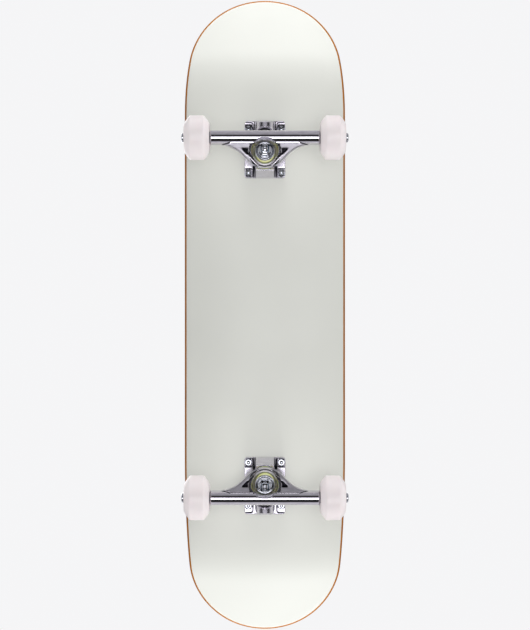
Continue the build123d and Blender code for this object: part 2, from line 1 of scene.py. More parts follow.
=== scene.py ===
"""Street skateboard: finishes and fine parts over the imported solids, one class for each sub-assembly."""

from __future__ import annotations

import json
import logging
import math
from dataclasses import dataclass
from enum import Enum
from itertools import product
from typing import Callable, Sequence, Union

import bmesh
import bpy
from bmesh.types import BMesh, BMVert
from bpy.types import Material, Mesh, Node, NodeOutputs, NodeSocket, NodeTree, Object, World
from mathutils import Matrix, Vector

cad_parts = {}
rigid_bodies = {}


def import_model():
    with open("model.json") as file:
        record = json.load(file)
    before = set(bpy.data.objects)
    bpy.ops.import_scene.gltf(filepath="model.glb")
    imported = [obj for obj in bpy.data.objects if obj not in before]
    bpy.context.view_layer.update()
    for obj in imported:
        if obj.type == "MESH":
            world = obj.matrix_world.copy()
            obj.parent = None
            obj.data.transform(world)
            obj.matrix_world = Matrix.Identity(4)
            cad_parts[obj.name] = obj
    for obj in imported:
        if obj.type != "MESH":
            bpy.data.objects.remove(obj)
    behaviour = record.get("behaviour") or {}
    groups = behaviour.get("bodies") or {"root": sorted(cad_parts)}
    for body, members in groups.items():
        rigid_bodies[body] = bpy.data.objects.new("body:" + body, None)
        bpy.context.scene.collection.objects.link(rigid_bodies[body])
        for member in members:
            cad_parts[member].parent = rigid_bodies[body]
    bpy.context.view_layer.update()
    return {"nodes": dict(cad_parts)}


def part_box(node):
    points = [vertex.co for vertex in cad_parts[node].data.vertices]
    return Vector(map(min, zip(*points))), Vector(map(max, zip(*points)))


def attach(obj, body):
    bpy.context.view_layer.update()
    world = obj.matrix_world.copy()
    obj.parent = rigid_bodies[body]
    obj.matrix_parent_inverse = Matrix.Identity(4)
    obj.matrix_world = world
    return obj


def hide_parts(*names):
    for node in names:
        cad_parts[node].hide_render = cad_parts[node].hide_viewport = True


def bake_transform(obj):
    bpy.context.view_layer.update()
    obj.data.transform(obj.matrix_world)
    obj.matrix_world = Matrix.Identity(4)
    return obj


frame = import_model()
LOG = logging.getLogger("skateboard")
MM = 0.001
FROM_MM = Matrix.Scale(MM, 4)
TO_MM = Matrix.Scale(1 / MM, 4)
TURN_SEED = 7  # seeds how far each bolt and nut is turned
TURN_STEPS = 40  # steps in one turn of a screw thread
WELD = 1e-6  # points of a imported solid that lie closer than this, in metres, are one point
ON_AXIS = 1e-6  # a ring with a smaller radius, in millimetres, is a point on the axis
LONGEST_EASE = 0.49  # the share of a profile's side that the rounding of a corner may take
Measure = Union[float, Callable[[float], float]]
Ring = tuple[Measure, Measure]
Colour = tuple[float, float, float, float]


# ---------------------------------------------------------------- choices
class Place(Enum):
    """A place on the board that node names tell."""

    @property
    def label(self) -> str:
        """The place's word in node names."""
        return self.name.lower()


class End(Place):
    """The two ends of the board, with the way each truck faces along X."""

    FRONT = 1
    REAR = -1


class Side(Place):
    """The two sides of the board, with the sign of Y on each."""

    LEFT = 1
    RIGHT = -1


# ---------------------------------------------------------------- small tools
def linear(hex_colour: str) -> Colour:
    """Turns an sRGB hex colour into the linear colour that a shader socket takes.

    Args:
        hex_colour: Six hex digits, with or without a leading hash.

    Returns:
        Red, green, blue and an alpha of 1.
    """
    digits = hex_colour.lstrip("#")
    parts = [int(digits[i : i + 2], 16) / 255 for i in (0, 2, 4)]
    red, green, blue = [c / 12.92 if c <= 0.04045 else ((c + 0.055) / 1.055) ** 2.4 for c in parts]
    return red, green, blue, 1.0


def add_node(
    tree: NodeTree, kind: str, inputs: dict[int | str, object] | None = None, **settings: object
) -> Node:
    """Adds a node to a tree with its settings, values and links.

    Args:
        tree: The shader or geometry tree to add to.
        kind: The node's Blender type name.
        inputs: Socket name or index to a plain value or to an output socket to link from.
        **settings: Properties of the node itself.

    Returns:
        The new node.
    """
    made = tree.nodes.new(kind)
    for key, value in settings.items():
        setattr(made, key, value)
    for key, value in (inputs or {}).items():
        if isinstance(value, NodeSocket):
            tree.links.new(value, made.inputs[key])
        else:
            made.inputs[key].default_value = value
    return made


def mesh_object(name: str, mesh: Mesh) -> Object:
    """Puts a mesh in the scene as an object at the origin.

    Args:
        name: The object's name.
        mesh: Its mesh.

    Returns:
        The new object.
    """
    piece = bpy.data.objects.new(name, mesh)
    bpy.context.scene.collection.objects.link(piece)
    return piece


def mesh_of(work: BMesh, name: str) -> Mesh:
    """Turns an edit mesh into a plain one.

    Args:
        work: The edit mesh, which is used up.
        name: The plain mesh's name.

    Returns:
        The plain mesh.
    """
    mesh = bpy.data.meshes.new(name)
    work.to_mesh(mesh)
    work.free()
    return mesh


def shade(mesh: Mesh, degrees: float = 32.0) -> None:
    """Shades a mesh smooth, with its sharper edges kept crisp.

    Args:
        mesh: The mesh.
        degrees: The angle between two faces from which their edge stays crisp.
    """
    mesh.shade_smooth()
    mesh.set_sharp_from_angle(angle=math.radians(degrees))


def bake(piece: Object) -> None:
    """Turns an object with modifiers into the plain mesh that they give.

    Args:
        piece: The object; its modifiers are removed.
    """
    graph = bpy.context.evaluated_depsgraph_get()
    result = bpy.data.meshes.new_from_object(piece.evaluated_get(graph))
    result.name = piece.name
    piece.modifiers.clear()
    piece.data = result


def cut_away(piece: Object, shape: Mesh, crossing: bool = False) -> None:
    """Cuts a closed shape out of a piece.

    Args:
        piece: The piece to cut.
        shape: What to cut away.
        crossing: Whether parts of the shape run through each other.
    """
    tool = mesh_object(shape.name, shape)
    cut = piece.modifiers.new("cut", "BOOLEAN")
    cut.object = tool
    cut.operation = "DIFFERENCE"
    cut.solver = "EXACT"
    cut.use_self = crossing
    bake(piece)
    bpy.data.objects.remove(tool)


def across_frame(middle: Vector, y: float = 0.0, flip: bool = False) -> Matrix:
    """A local millimetre frame on an axis that runs across the board.

    Args:
        middle: A point of the axis, in metres.
        y: How far to the left of it the frame stands, in millimetres.
        flip: Whether its Z points along -Y and not along +Y.

    Returns:
        The matrix to the row frame in metres.
    """
    turn = Matrix.Rotation(math.pi / 2 if flip else -math.pi / 2, 4, "X")
    return Matrix.Translation(middle + Vector((0, y * MM, 0))) @ turn @ FROM_MM


def value_at(measure: Measure, angle: float) -> float:
    """Reads a ring's radius or height, which may vary round the ring.

    Args:
        measure: A number, or a function of the angle.
        angle: Where round the ring it is read, in radians.

    Returns:
        The radius or height there.
    """
    return measure(angle) if callable(measure) else measure


def lathe(
    name: str,
    rings: Sequence[Ring],
    place: Matrix,
    segments: int = 96,
    closed: bool = True,
    finish: Material | None = None,
) -> Object:
    """Turns a profile about a local Z axis.

    Args:
        name: The object's name.
        rings: Radius and height of each ring in millimetres; either may be a function of the angle.
        place: Takes the local millimetre frame to the row frame in metres.
        segments: Steps round the axis.
        closed: Whether the last ring joins the first, as in a ring with a bore.
        finish: The material, if it has one yet.

    Returns:
        The finished object, its faces pointing out.
    """
    work = bmesh.new()
    rows: list[list[BMVert]] = []
    for radius, height in rings:
        if not callable(radius) and radius < ON_AXIS:
            rows.append([work.verts.new((0, 0, value_at(height, 0)))] * segments)
            continue
        row = []
        for step in range(segments):
            angle = math.tau * step / segments
            reach = value_at(radius, angle)
            point = (reach * math.cos(angle), reach * math.sin(angle), value_at(height, angle))
            row.append(work.verts.new(point))
        rows.append(row)
    pairs = list(zip(rows, rows[1:])) + ([(rows[-1], rows[0])] if closed else [])
    for low, high in pairs:
        for step in range(segments):
            after = (step + 1) % segments
            corners = list(dict.fromkeys((low[step], low[after], high[after], high[step])))
            if len(corners) > 2:
                work.faces.new(corners)
    bmesh.ops.recalc_face_normals(work, faces=work.faces[:])
    mesh = mesh_of(work, name)
    mesh.transform(place)
    shade(mesh)
    if finish:
        mesh.materials.append(finish)
    return mesh_object(name, mesh)


def rounded(corners: Sequence[tuple[float, float, float]], steps: int = 4) -> list[Ring]:
    """Rounds the corners of a closed profile.

    Args:
        corners: Radius, height and rounding of each corner, in millimetres.
        steps: Points on each rounding arc, less one.

    Returns:
        The profile's rings in order.
    """
    rings: list[Ring] = []
    count = len(corners)
    for index, (radius, height, rounding) in enumerate(corners):
        here = Vector((radius, height))
        if rounding <= 0:
            rings.append((radius, height))
            continue
        before = Vector(corners[index - 1][:2])
        after = Vector(corners[(index + 1) % count][:2])
        sides = (before - here, after - here)
        start, end = (here + side.normalized() * min(rounding, side.length * LONGEST_EASE) for side in sides)
        for step in range(steps + 1):
            t = step / steps
            point = start * (1 - t) ** 2 + here * 2 * t * (1 - t) + end * t**2
            rings.append((point.x, point.y))
    return rings


def joined(name: str, pieces: Sequence[Object]) -> Object:
    """Joins several mesh objects into one, keeping their materials.

    Args:
        name: The joined object's name.
        pieces: The objects, which are used up.

    Returns:
        The joined object.
    """
    slots: list[Material] = []
    work = bmesh.new()
    for piece in pieces:
        offset = len(work.faces)
        numbers = []
        for material in piece.data.materials:
            if material not in slots:
                slots.append(material)
            numbers.append(slots.index(material))
        work.from_mesh(piece.data)
        work.faces.ensure_lookup_table()
        for face in work.faces[offset:]:
            face.material_index = numbers[face.material_index] if numbers else 0
        bpy.data.objects.remove(piece)
    mesh = mesh_of(work, name)
    for material in slots:
        mesh.materials.append(material)
    shade(mesh)
    return mesh_object(name, mesh)


def finish_piece(piece: Object, body: str, slot: str, *nodes: str) -> None:
    """Hands a finished piece to its body and reports it.

    Args:
        piece: The finished object.
        body: The CAD body that it rides on.
        slot: The record's material slot; not used.
        *nodes: The CAD nodes that it stands for.
    """
    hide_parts(*nodes)
    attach(piece, body)
    LOG.info("%s: %d faces on %s", piece.name, len(piece.data.polygons), body)


# ---------------------------------------------------------------- finishes
class Pattern:
    """A shader tree, a material's or the world's, with the few patterns that it is built from."""

    def __init__(self, owner: Material | World) -> None:
        """Starts with an empty tree.

        Args:
            owner: The material or world that shows the pattern.
        """
        owner.use_nodes = True
        self.tree = owner.node_tree
        self.tree.nodes.clear()

    def reckon(self, operation: str, *values: object, clamp: bool = False) -> NodeSocket:
        """Reckons with one or two values.

        Args:
            operation: Blender's name of the operation.
            *values: Numbers or sockets.
            clamp: Whether the result is held between 0 and 1.

        Returns:
            The result.
        """
        inputs = dict(enumerate(values))
        return add_node(self.tree, "ShaderNodeMath", inputs, operation=operation, use_clamp=clamp).outputs[0]

    def span(
        self, value: NodeSocket, low: float, high: float, start: float = 0.0, stop: float = 1.0
    ) -> NodeSocket:
        """Maps a value from start..stop to low..high, and holds it there beyond them.

        Args:
            value: The value to map.
            low: What comes out at start.
            high: What comes out at stop.
            start: Where the mapping starts.
            stop: Where it stops.

        Returns:
            The mapped value.
        """
        inputs = {"Value": value, "From Min": start, "From Max": stop, "To Min": low, "To Max": high}
        return add_node(self.tree, "ShaderNodeMapRange", inputs).outputs[0]

    def mix(self, factor: object, first: object, second: object, blend: str = "MIX") -> NodeSocket:
        """Mixes two colours.

        Args:
            factor: How much of the second colour there is, as a number or a socket.
            first: A socket, a hex word or a linear colour.
            second: The same for the second colour.
            blend: How the two meet.

        Returns:
            The mixed colour.
        """
        given = {0: factor, 6: first, 7: second}
        inputs = {key: linear(value) if isinstance(value, str) else value for key, value in given.items()}
        return add_node(self.tree, "ShaderNodeMix", inputs, data_type="RGBA", blend_type=blend).outputs[2]

    def ramp(self, value: NodeSocket, stops: Sequence[tuple[float, str | Colour]]) -> NodeSocket:
        """Colours along a value.

        Args:
            value: The value to read.
            stops: Place and colour of each stop, as a hex word or a linear colour.

        Returns:
            The colour.
        """
        made = add_node(self.tree, "ShaderNodeValToRGB", {"Fac": value})
        points = made.color_ramp.elements
        while len(points) < len(stops):
            points.new(1.0)
        for point, (place, colour) in zip(points, stops):
            point.position = place
            point.color = linear(colour) if isinstance(colour, str) else colour
        return made.outputs[0]


class Shader(Pattern):
    """A material with its Principled shader, its pattern coordinates and its bumps."""

    def __init__(self, name: str) -> None:
        """Starts a material.

        Args:
            name: The material's name.
        """
        self.material = bpy.data.materials.new(name)
        super().__init__(self.material)
        output = add_node(self.tree, "ShaderNodeOutputMaterial")
        self.principled = add_node(self.tree, "ShaderNodeBsdfPrincipled")
        self.tree.links.new(self.principled.outputs[0], output.inputs["Surface"])
        self.place = add_node(self.tree, "ShaderNodeTexCoord").outputs["Object"]

    def set(self, **values: object) -> None:
        """Sets sockets of the Principled shader.

        Args:
            **values: Socket name, with underscores for its spaces, to a plain value or a socket to link from.
        """
        for key, value in values.items():
            socket = self.principled.inputs[key.replace("_", " ")]
            if isinstance(value, NodeSocket):
                self.tree.links.new(value, socket)
            else:
                socket.default_value = value

    def attribute(self, name: str) -> NodeSocket:
        """Reads a number that the piece's own points carry.

        Args:
            name: The attribute's name.

        Returns:
            Its value.
        """
        return add_node(self.tree, "ShaderNodeAttribute", attribute_name=name).outputs["Fac"]

    def noise(
        self,
        size_mm: float,
        stretch: tuple[float, float, float] = (1, 1, 1),
        detail: float = 2.0,
        roughness: float = 0.5,
    ) -> NodeSocket:
        """A noise pattern with cells of a real size.

        Args:
            size_mm: The size of a cell in millimetres.
            stretch: How many times finer the pattern is along each axis.
            detail: Octaves of finer noise.
            roughness: Strength of each finer octave.

        Returns:
            The noise's value, from 0 to 1.
        """
        mapping = add_node(self.tree, "ShaderNodeMapping", {"Vector": self.place, "Scale": stretch})
        inputs = {"Vector": mapping.outputs[0], "Scale": 1 / (size_mm * MM)}
        inputs |= {"Detail": detail, "Roughness": roughness}
        return add_node(self.tree, "ShaderNodeTexNoise", inputs).outputs[0]

    def recess(self, reach_mm: float) -> NodeSocket:
        """How deep in a recess of the piece a point lies.

        Args:
            reach_mm: How far away, in millimetres, a wall still counts.

        Returns:
            0 on open faces to 1 in deep recesses.
        """
        inputs = {"Distance": reach_mm * MM, "Color": (1.0, 1.0, 1.0, 1.0)}
        sky = add_node(self.tree, "ShaderNodeAmbientOcclusion", inputs, samples=12, only_local=True)
        return self.span(sky.outputs["AO"], 1.0, 0.0, 0.25, 0.95)

    def bump(self, height: NodeSocket, depth_mm: float, strength: float = 1.0) -> None:
        """Adds a bump to the surface, over any bump already there.

        Args:
            height: The bump's height, from 0 to 1.
            depth_mm: What a height of 1 comes to, in millimetres.
            strength: How much of it shows.
        """
        inputs = {"Height": height, "Distance": depth_mm * MM, "Strength": strength}
        made = add_node(self.tree, "ShaderNodeBump", inputs)
        socket = self.principled.inputs["Normal"]
        if socket.links:
            self.tree.links.new(socket.links[0].from_socket, made.inputs["Normal"])
        self.tree.links.new(made.outputs[0], socket)


@dataclass(frozen=True)
class PaintedMaple:
    """Satin lacquer over a sprayed coat on maple: pale, even, with the veneer's grain just telegraphing."""

    coat: str = "#cdcec6"
    tint: str = "#cfd0c8"
    grain_mm: float = 2.2
    blush_mm: float = 90.0
    roughness: tuple[float, float] = (0.3, 0.38)
    gloss: float = 0.25

    def build(self) -> Material:
        """Makes the material.

        Returns:
            The material.
        """
        made = Shader("painted_maple_lacquer")
        grain = made.noise(self.grain_mm, (0.02, 1, 1), 3)
        blush = made.noise(self.blush_mm, detail=1)
        made.set(
            Base_Color=made.mix(made.span(blush, 0.0, 1.0, 0.35, 0.65), self.coat, self.tint),
            Roughness=made.span(grain, *self.roughness, 0.3, 0.7),
            Specular_IOR_Level=self.gloss,
        )
        made.bump(grain, 0.02, 0.35)
        return made.material


@dataclass(frozen=True)
class MapleEdge:
    """Seven rotary-cut maple veneers pressed together and sanded round.

    They show as warm stripes of two tones, darker at the glue lines and where the end grain shows.
    """

    pale: str = "#ab6a14"
    warm: str = "#803f04"
    dark: str = "#431f02"
    plies: int = 7
    roughness: tuple[float, float] = (0.42, 0.6)
    gloss: float = 0.25

    def build(self) -> Material:
        """Makes the material, which reads the number "ply" on the deck's own points.

        Returns:
            The material.
        """
        made = Shader("maple_ply_edge")
        part = made.reckon("FRACT", made.reckon("MULTIPLY", made.attribute("ply"), self.plies / 2))
        stops = (
            (0.0, self.dark),
            (0.06, self.pale),
            (0.46, self.pale),
            (0.52, self.dark),
            (0.58, self.warm),
            (0.97, self.warm),
        )
        fibre = made.noise(0.7, (0.03, 0.6, 1), 3)
        made.set(
            Base_Color=made.mix(made.span(fibre, 0.0, 0.45, 0.35, 0.75), made.ramp(part, stops), self.dark),
            Roughness=made.span(fibre, *self.roughness),
            Specular_IOR_Level=self.gloss,
        )
        made.bump(fibre, 0.08, 0.5)
        return made.material


@dataclass(frozen=True)
class GritCloth:
    """Silicon carbide grit bedded in black resin: dead black, with single grains that catch the light."""

    base: str = "#17181a"
    grain: str = "#3c3e42"
    glint: str = "#8d9096"
    grit_mm: float = 0.55  # coarser than the real 0.2 mm, so that it shows
    wear_mm: float = 35.0
    roughness: tuple[float, float] = (0.45, 0.95)
    gloss: float = 0.6

    def build(self) -> Material:
        """Makes the material.

        Returns:
            The material.
        """
        made = Shader("silicon_carbide_grit")
        inputs = {"Vector": made.place, "Scale": 1 / (self.grit_mm * MM)}
        cells = add_node(made.tree, "ShaderNodeTexVoronoi", inputs)
        pick = add_node(made.tree, "ShaderNodeSeparateColor", {0: cells.outputs["Color"]})
        wear = made.noise(self.wear_mm, detail=3)
        stops = ((0.0, self.base), (0.7, self.base), (0.86, self.grain), (0.985, self.glint))
        grains = made.ramp(pick.outputs[0], stops)
        made.set(
            Base_Color=made.mix(made.span(wear, 0.0, 0.25, 0.45, 0.8), grains, self.base),
            Roughness=made.span(pick.outputs[1], *self.roughness),
            Specular_IOR_Level=self.gloss,
        )
        made.bump(cells.outputs["Distance"], 0.25, 0.9)
        return made.material


@dataclass(frozen=True)
class PolishedCasting:
    """Cast aluminium, tumbled bright on its open faces, left dull in its recesses and darkened there by
    painted shade.

    Two numbers on the piece's own points vary it. Where "buffed" says so, the skin is wheel-buffed
    and mirrors crisply. Where "bowl" says so, the recess is a wide one that keeps little of the
    painted shade, with the milky skin that tumbling leaves.
    """

    name: str = "buffed_cast_aluminium"
    metal: str = "#e2dfe6"
    shade: str = "#cfccd4"
    # painted shade: the dark colour painted into the piece's recesses, where light falls short
    hollow: str = "#34333a"
    roughness: float = 0.4
    buffed: float = 0.07
    wave_mm: float = 7.0
    wave_depth_mm: float = 0.04
    reach_mm: float = 9.0
    milky: float = 0.45

    def build(self) -> Material:
        """Makes the material.

        Returns:
            The material.
        """
        made = Shader(self.name)
        buffed = made.attribute("buffed")
        wave = made.noise(self.wave_mm, (1, 0.5, 1), 2)
        rub = made.noise(0.45, (1, 0.06, 1), 2)
        dull = made.noise(4.0, (1, 0.4, 1), 4, 0.6)
        skin = made.mix(made.span(dull, 0.0, 1.0, 0.35, 0.7), self.metal, self.shade)
        bowl = made.attribute("bowl")
        # painted shade: the occlusion mask, less the bowl mark, darkens the base colour in recesses and also
        # roughens them
        deep = made.reckon("SUBTRACT", made.recess(self.reach_mm), bowl, clamp=True)
        cast = made.span(deep, self.roughness, self.roughness + 0.3)
        share = add_node(made.tree, "ShaderNodeMix", {0: buffed, 2: cast, 3: self.buffed}, data_type="FLOAT")
        made.set(
            Base_Color=made.mix(deep, skin, self.hollow),
            Metallic=made.span(bowl, 1.0, self.milky),
            Roughness=share.outputs[0],
        )
        made.bump(wave, self.wave_depth_mm, 0.6)
        made.bump(rub, 0.008, 0.2)
        return made.material


@dataclass(frozen=True)
class PlatedSteel:
    """Turned or stamped steel under zinc or chrome: smooth, cool and bright, with faint cutter rings."""

    name: str = "zinc_plated_steel"
    metal: str = "#d2d5da"
    stain: str = "#b4b8c0"
    roughness: float = 0.045

    def build(self) -> Material:
        """Makes the material.

        Returns:
            The material.
        """
        made = Shader(self.name)
        stain = made.noise(2.5, detail=3)
        turned = made.noise(0.3)
        made.set(
            Base_Color=made.mix(made.span(stain, 0.0, 1.0, 0.4, 0.7), self.metal, self.stain),
            Metallic=1.0,
            Roughness=made.span(stain, self.roughness, self.roughness + 0.05, 0.35, 0.7),
        )
        made.bump(turned, 0.005, 0.15)
        return made.material


@dataclass(frozen=True)
class CastUrethane:
    """Poured urethane: a slightly waxy plastic that lets light in under its skin, with fine lathe marks."""

    name: str = "cast_wheel_urethane"
    body: str = "#f4eced"
    depth: str = "#f3eaec"
    scatter: float = 0.05
    reach_mm: float = 3.0
    roughness: float = 0.32
    grain_mm: float = 0.5

    def build(self) -> Material:
        """Makes the material.

        Returns:
            The material.
        """
        made = Shader(self.name)
        cloud = made.noise(14)
        lathe_marks = made.noise(self.grain_mm, (0.05, 1, 0.05), 2)
        made.set(
            Base_Color=made.mix(made.span(cloud, 0.0, 1.0, 0.4, 0.65), self.body, self.depth),
            Roughness=made.span(cloud, self.roughness, self.roughness + 0.08),
            Subsurface_Weight=self.scatter,
            Subsurface_Radius=(1.0, 0.7, 0.6),
            Subsurface_Scale=self.reach_mm * MM,
            IOR=1.5,
        )
        made.bump(lathe_marks, 0.02, 0.25)
        return made.material


@dataclass(frozen=True)
class Moulded:
    """Moulded rubber or nylon: dark or plain, even, with a fine spark-eroded grain."""

    name: str
    body: str
    flecks: str
    roughness: float = 0.5

    def build(self) -> Material:
        """Makes the material.

        Returns:
            The material.
        """
        made = Shader(self.name)
        grain = made.noise(0.4)
        cloud = made.noise(6)
        made.set(
            Base_Color=made.mix(made.span(cloud, 0.0, 1.0, 0.4, 0.7), self.body, self.flecks),
            Roughness=made.span(grain, self.roughness - 0.06, self.roughness + 0.08),
        )
        made.bump(grain, 0.02, 0.4)
        return made.material


@dataclass(frozen=True)
class Finishes:
    """Every material of the board, made once."""

    paint: Material
    ply: Material
    grit: Material
    casting: Material
    plate: Material
    zinc: Material
    chrome: Material
    wheel: Material
    bushing: Material
    cup: Material
    shield: Material
    nylon: Material

    @classmethod
    def make(cls) -> Finishes:
        """Makes every material.

        Returns:
            The board's materials.
        """
        return cls(
            paint=PaintedMaple().build(),
            ply=MapleEdge().build(),
            grit=GritCloth().build(),
            casting=PolishedCasting().build(),
            plate=PolishedCasting(
                name="tumbled_cast_aluminium",
                metal="#e7e4ec",
                shade="#d8d5de",
                # painted shade for the plate's recesses
                hollow="#2c2b31",
                roughness=0.27,
                wave_mm=4.0,
            ).build(),
            zinc=PlatedSteel().build(),
            chrome=PlatedSteel("ground_bearing_steel", "#cfd1d4", "#b5b8bd", 0.06).build(),
            wheel=CastUrethane().build(),
            bushing=CastUrethane(
                name="bushing_urethane",
                body="#e4e6ac",
                depth="#dde09c",
                scatter=0.3,
                reach_mm=4.0,
                roughness=0.22,
                grain_mm=0.8,
            ).build(),
            cup=Moulded("pivot_cup_urethane", "#1b1b1d", "#232326", 0.42).build(),
            shield=Moulded("bearing_shield_rubber", "#1d1e21", "#26272b", 0.38).build(),
            nylon=Moulded("lock_nut_nylon", "#5f87a8", "#547a9a", 0.4).build(),
        )


# ---------------------------------------------------------------- geometry trees
def open_tree(name: str, **inputs: tuple[str, object]) -> tuple[NodeTree, NodeOutputs]:
    """Starts a geometry tree that gives one geometry.

    Args:
        name: The tree's name.
        **inputs: Input name, with underscores for its spaces, to its kind and its first value.

    Returns:
        The tree and the sockets that its inputs come in by.
    """
    tree = bpy.data.node_groups.new(name, "GeometryNodeTree")
    tree.interface.new_socket(name="Geometry", in_out="OUTPUT", socket_type="NodeSocketGeometry")
    for label, (kind, value) in inputs.items():
        label = label.replace("_", " ")
        socket = tree.interface.new_socket(name=label, in_out="INPUT", socket_type=f"NodeSocket{kind}")
        if value is not None:
            socket.default_value = value
    return tree, add_node(tree, "NodeGroupInput").outputs


def close_tree(tree: NodeTree, geometry: NodeSocket, finish: NodeSocket) -> None:
    """Ends a geometry tree with a plain mesh in one material.

    Args:
        tree: The tree.
        geometry: What it gives.
        finish: The material.
    """
    real = add_node(tree, "GeometryNodeRealizeInstances", {"Geometry": geometry})
    dressed = add_node(tree, "GeometryNodeSetMaterial", {"Geometry": real.outputs[0], "Material": finish})
    add_node(tree, "NodeGroupOutput", {"Geometry": dressed.outputs[0]})


def run_tree(name: str, tree: NodeTree, values: dict[str, object]) -> Object:
    """Evaluates a geometry tree on an empty mesh and keeps the plain mesh that it gives.

    Args:
        name: The object's name.
        tree: The geometry tree.
        values: Input name to value.

    Returns:
        The finished object.
    """
    piece = mesh_object(name, bpy.data.meshes.new(name))
    modifier = piece.modifiers.new("build", "NODES")
    modifier.node_group = tree
    for item in tree.interface.items_tree:
        if item.item_type == "SOCKET" and item.in_out == "INPUT" and item.name in values:
            modifier[item.identifier] = values[item.name]
    bake(piece)
    shade(piece.data)
    return piece


def repeat_tree() -> NodeTree:
    """Makes a tree that sets one fastener at every corner of a pattern of rows and columns.

    Returns:
        The tree.
    """
    tree, given = open_tree(
        "fasteners on a pattern",
        Fastener=("Object", None),
        Along=("Float", 0.054),
        Across=("Float", 0.041),
        Rows=("Int", 2),
        Columns=("Int", 2),
        Middle=("Vector", (0.0, 0.0, 0.0)),
        Turn_Spread=("Float", 0.5),
        Finish=("Material", None),
    )
    sizes = {"Size X": "Along", "Size Y": "Across", "Vertices X": "Rows", "Vertices Y": "Columns"}
    grid = add_node(tree, "GeometryNodeMeshGrid", {socket: given[label] for socket, label in sizes.items()})
    points = add_node(tree, "GeometryNodeMeshToPoints", {"Mesh": grid.outputs["Mesh"]})
    inputs = {"Geometry": points.outputs[0], "Translation": given["Middle"]}
    moved = add_node(tree, "GeometryNodeTransform", inputs)
    part = add_node(tree, "GeometryNodeObjectInfo", {"Object": given["Fastener"]}, transform_space="ORIGINAL")
    inputs = {3: given["Turn Spread"], "Seed": TURN_SEED}
    spread = add_node(tree, "FunctionNodeRandomValue", inputs, data_type="FLOAT")
    turn = add_node(tree, "ShaderNodeCombineXYZ", {"Z": spread.outputs[1]})
    inputs = {"Points": moved.outputs[0], "Instance": part.outputs["Geometry"], "Rotation": turn.outputs[0]}
    placed = add_node(tree, "GeometryNodeInstanceOnPoints", inputs)
    close_tree(tree, placed.outputs[0], given["Finish"])
    return tree


def thread_tree() -> NodeTree:
    """Makes a tree that winds a screw thread's ridge round a straight shank along Z.

    Returns:
        The tree.
    """
    tree, given = open_tree(
        "screw thread",
        Root_Radius=("Float", 0.0038),
        Length=("Float", 0.01),
        Turns=("Float", 8.0),
        Ridge=("Float", 0.0003),
        Finish=("Material", None),
    )
    root = given["Root Radius"]
    inputs = {"Resolution": TURN_STEPS, "Rotations": given["Turns"], "Height": given["Length"]}
    inputs |= {"Start Radius": root, "End Radius": root}
    helix = add_node(tree, "GeometryNodeCurveSpiral", inputs)
    profile = add_node(tree, "GeometryNodeCurvePrimitiveCircle", {"Resolution": 4, "Radius": given["Ridge"]})
    inputs = {"Curve": helix.outputs[0], "Profile Curve": profile.outputs[0], "Fill Caps": True}
    ridge = add_node(tree, "GeometryNodeCurveToMesh", inputs)
    close_tree(tree, ridge.outputs[0], given["Finish"])
    return tree


@dataclass(frozen=True)
class Trees:
    """The geometry trees that several sub-assemblies share."""

    repeat: NodeTree
    thread: NodeTree

    def wind(
        self,
        name: str,
        shank: float,
        ridge: float,
        pitch: float,
        length: float,
        place: Matrix,
        finish: Material,
    ) -> Object:
        """Winds a screw thread's ridge on a shank.

        Args:
            name: The object's name.
            shank: The radius over the thread, in millimetres.
            ridge: The thread's depth.
            pitch: How far it climbs in a turn.
            length: How far it runs.
            place: Takes the local millimetre frame to the row frame in metres.
            finish: Its material.

        Returns:
            The ridge.
        """
        values = {
            "Root Radius": (shank - ridge) * MM,
            "Length": length * MM,
            "Turns": length / pitch,
            "Ridge": ridge * MM,
            "Finish": finish,
        }
        made = run_tree(name, self.thread, values)
        made.data.transform(place @ TO_MM)
        return made


# ---------------------------------------------------------------- fasteners
def hexagon(flats: float) -> Callable[[float], float]:
    """Makes the measure of a hexagon for a lathe's ring.

    Args:
        flats: The hexagon's width across the flats.

    Returns:
        The distance from its middle to its side, as a function of the angle.
    """
    sixth = math.tau / 6

    def reach(angle: float) -> float:
        """The distance at one angle."""
        return flats / 2 / math.cos((angle + sixth / 2) % sixth - sixth / 2)

    return reach


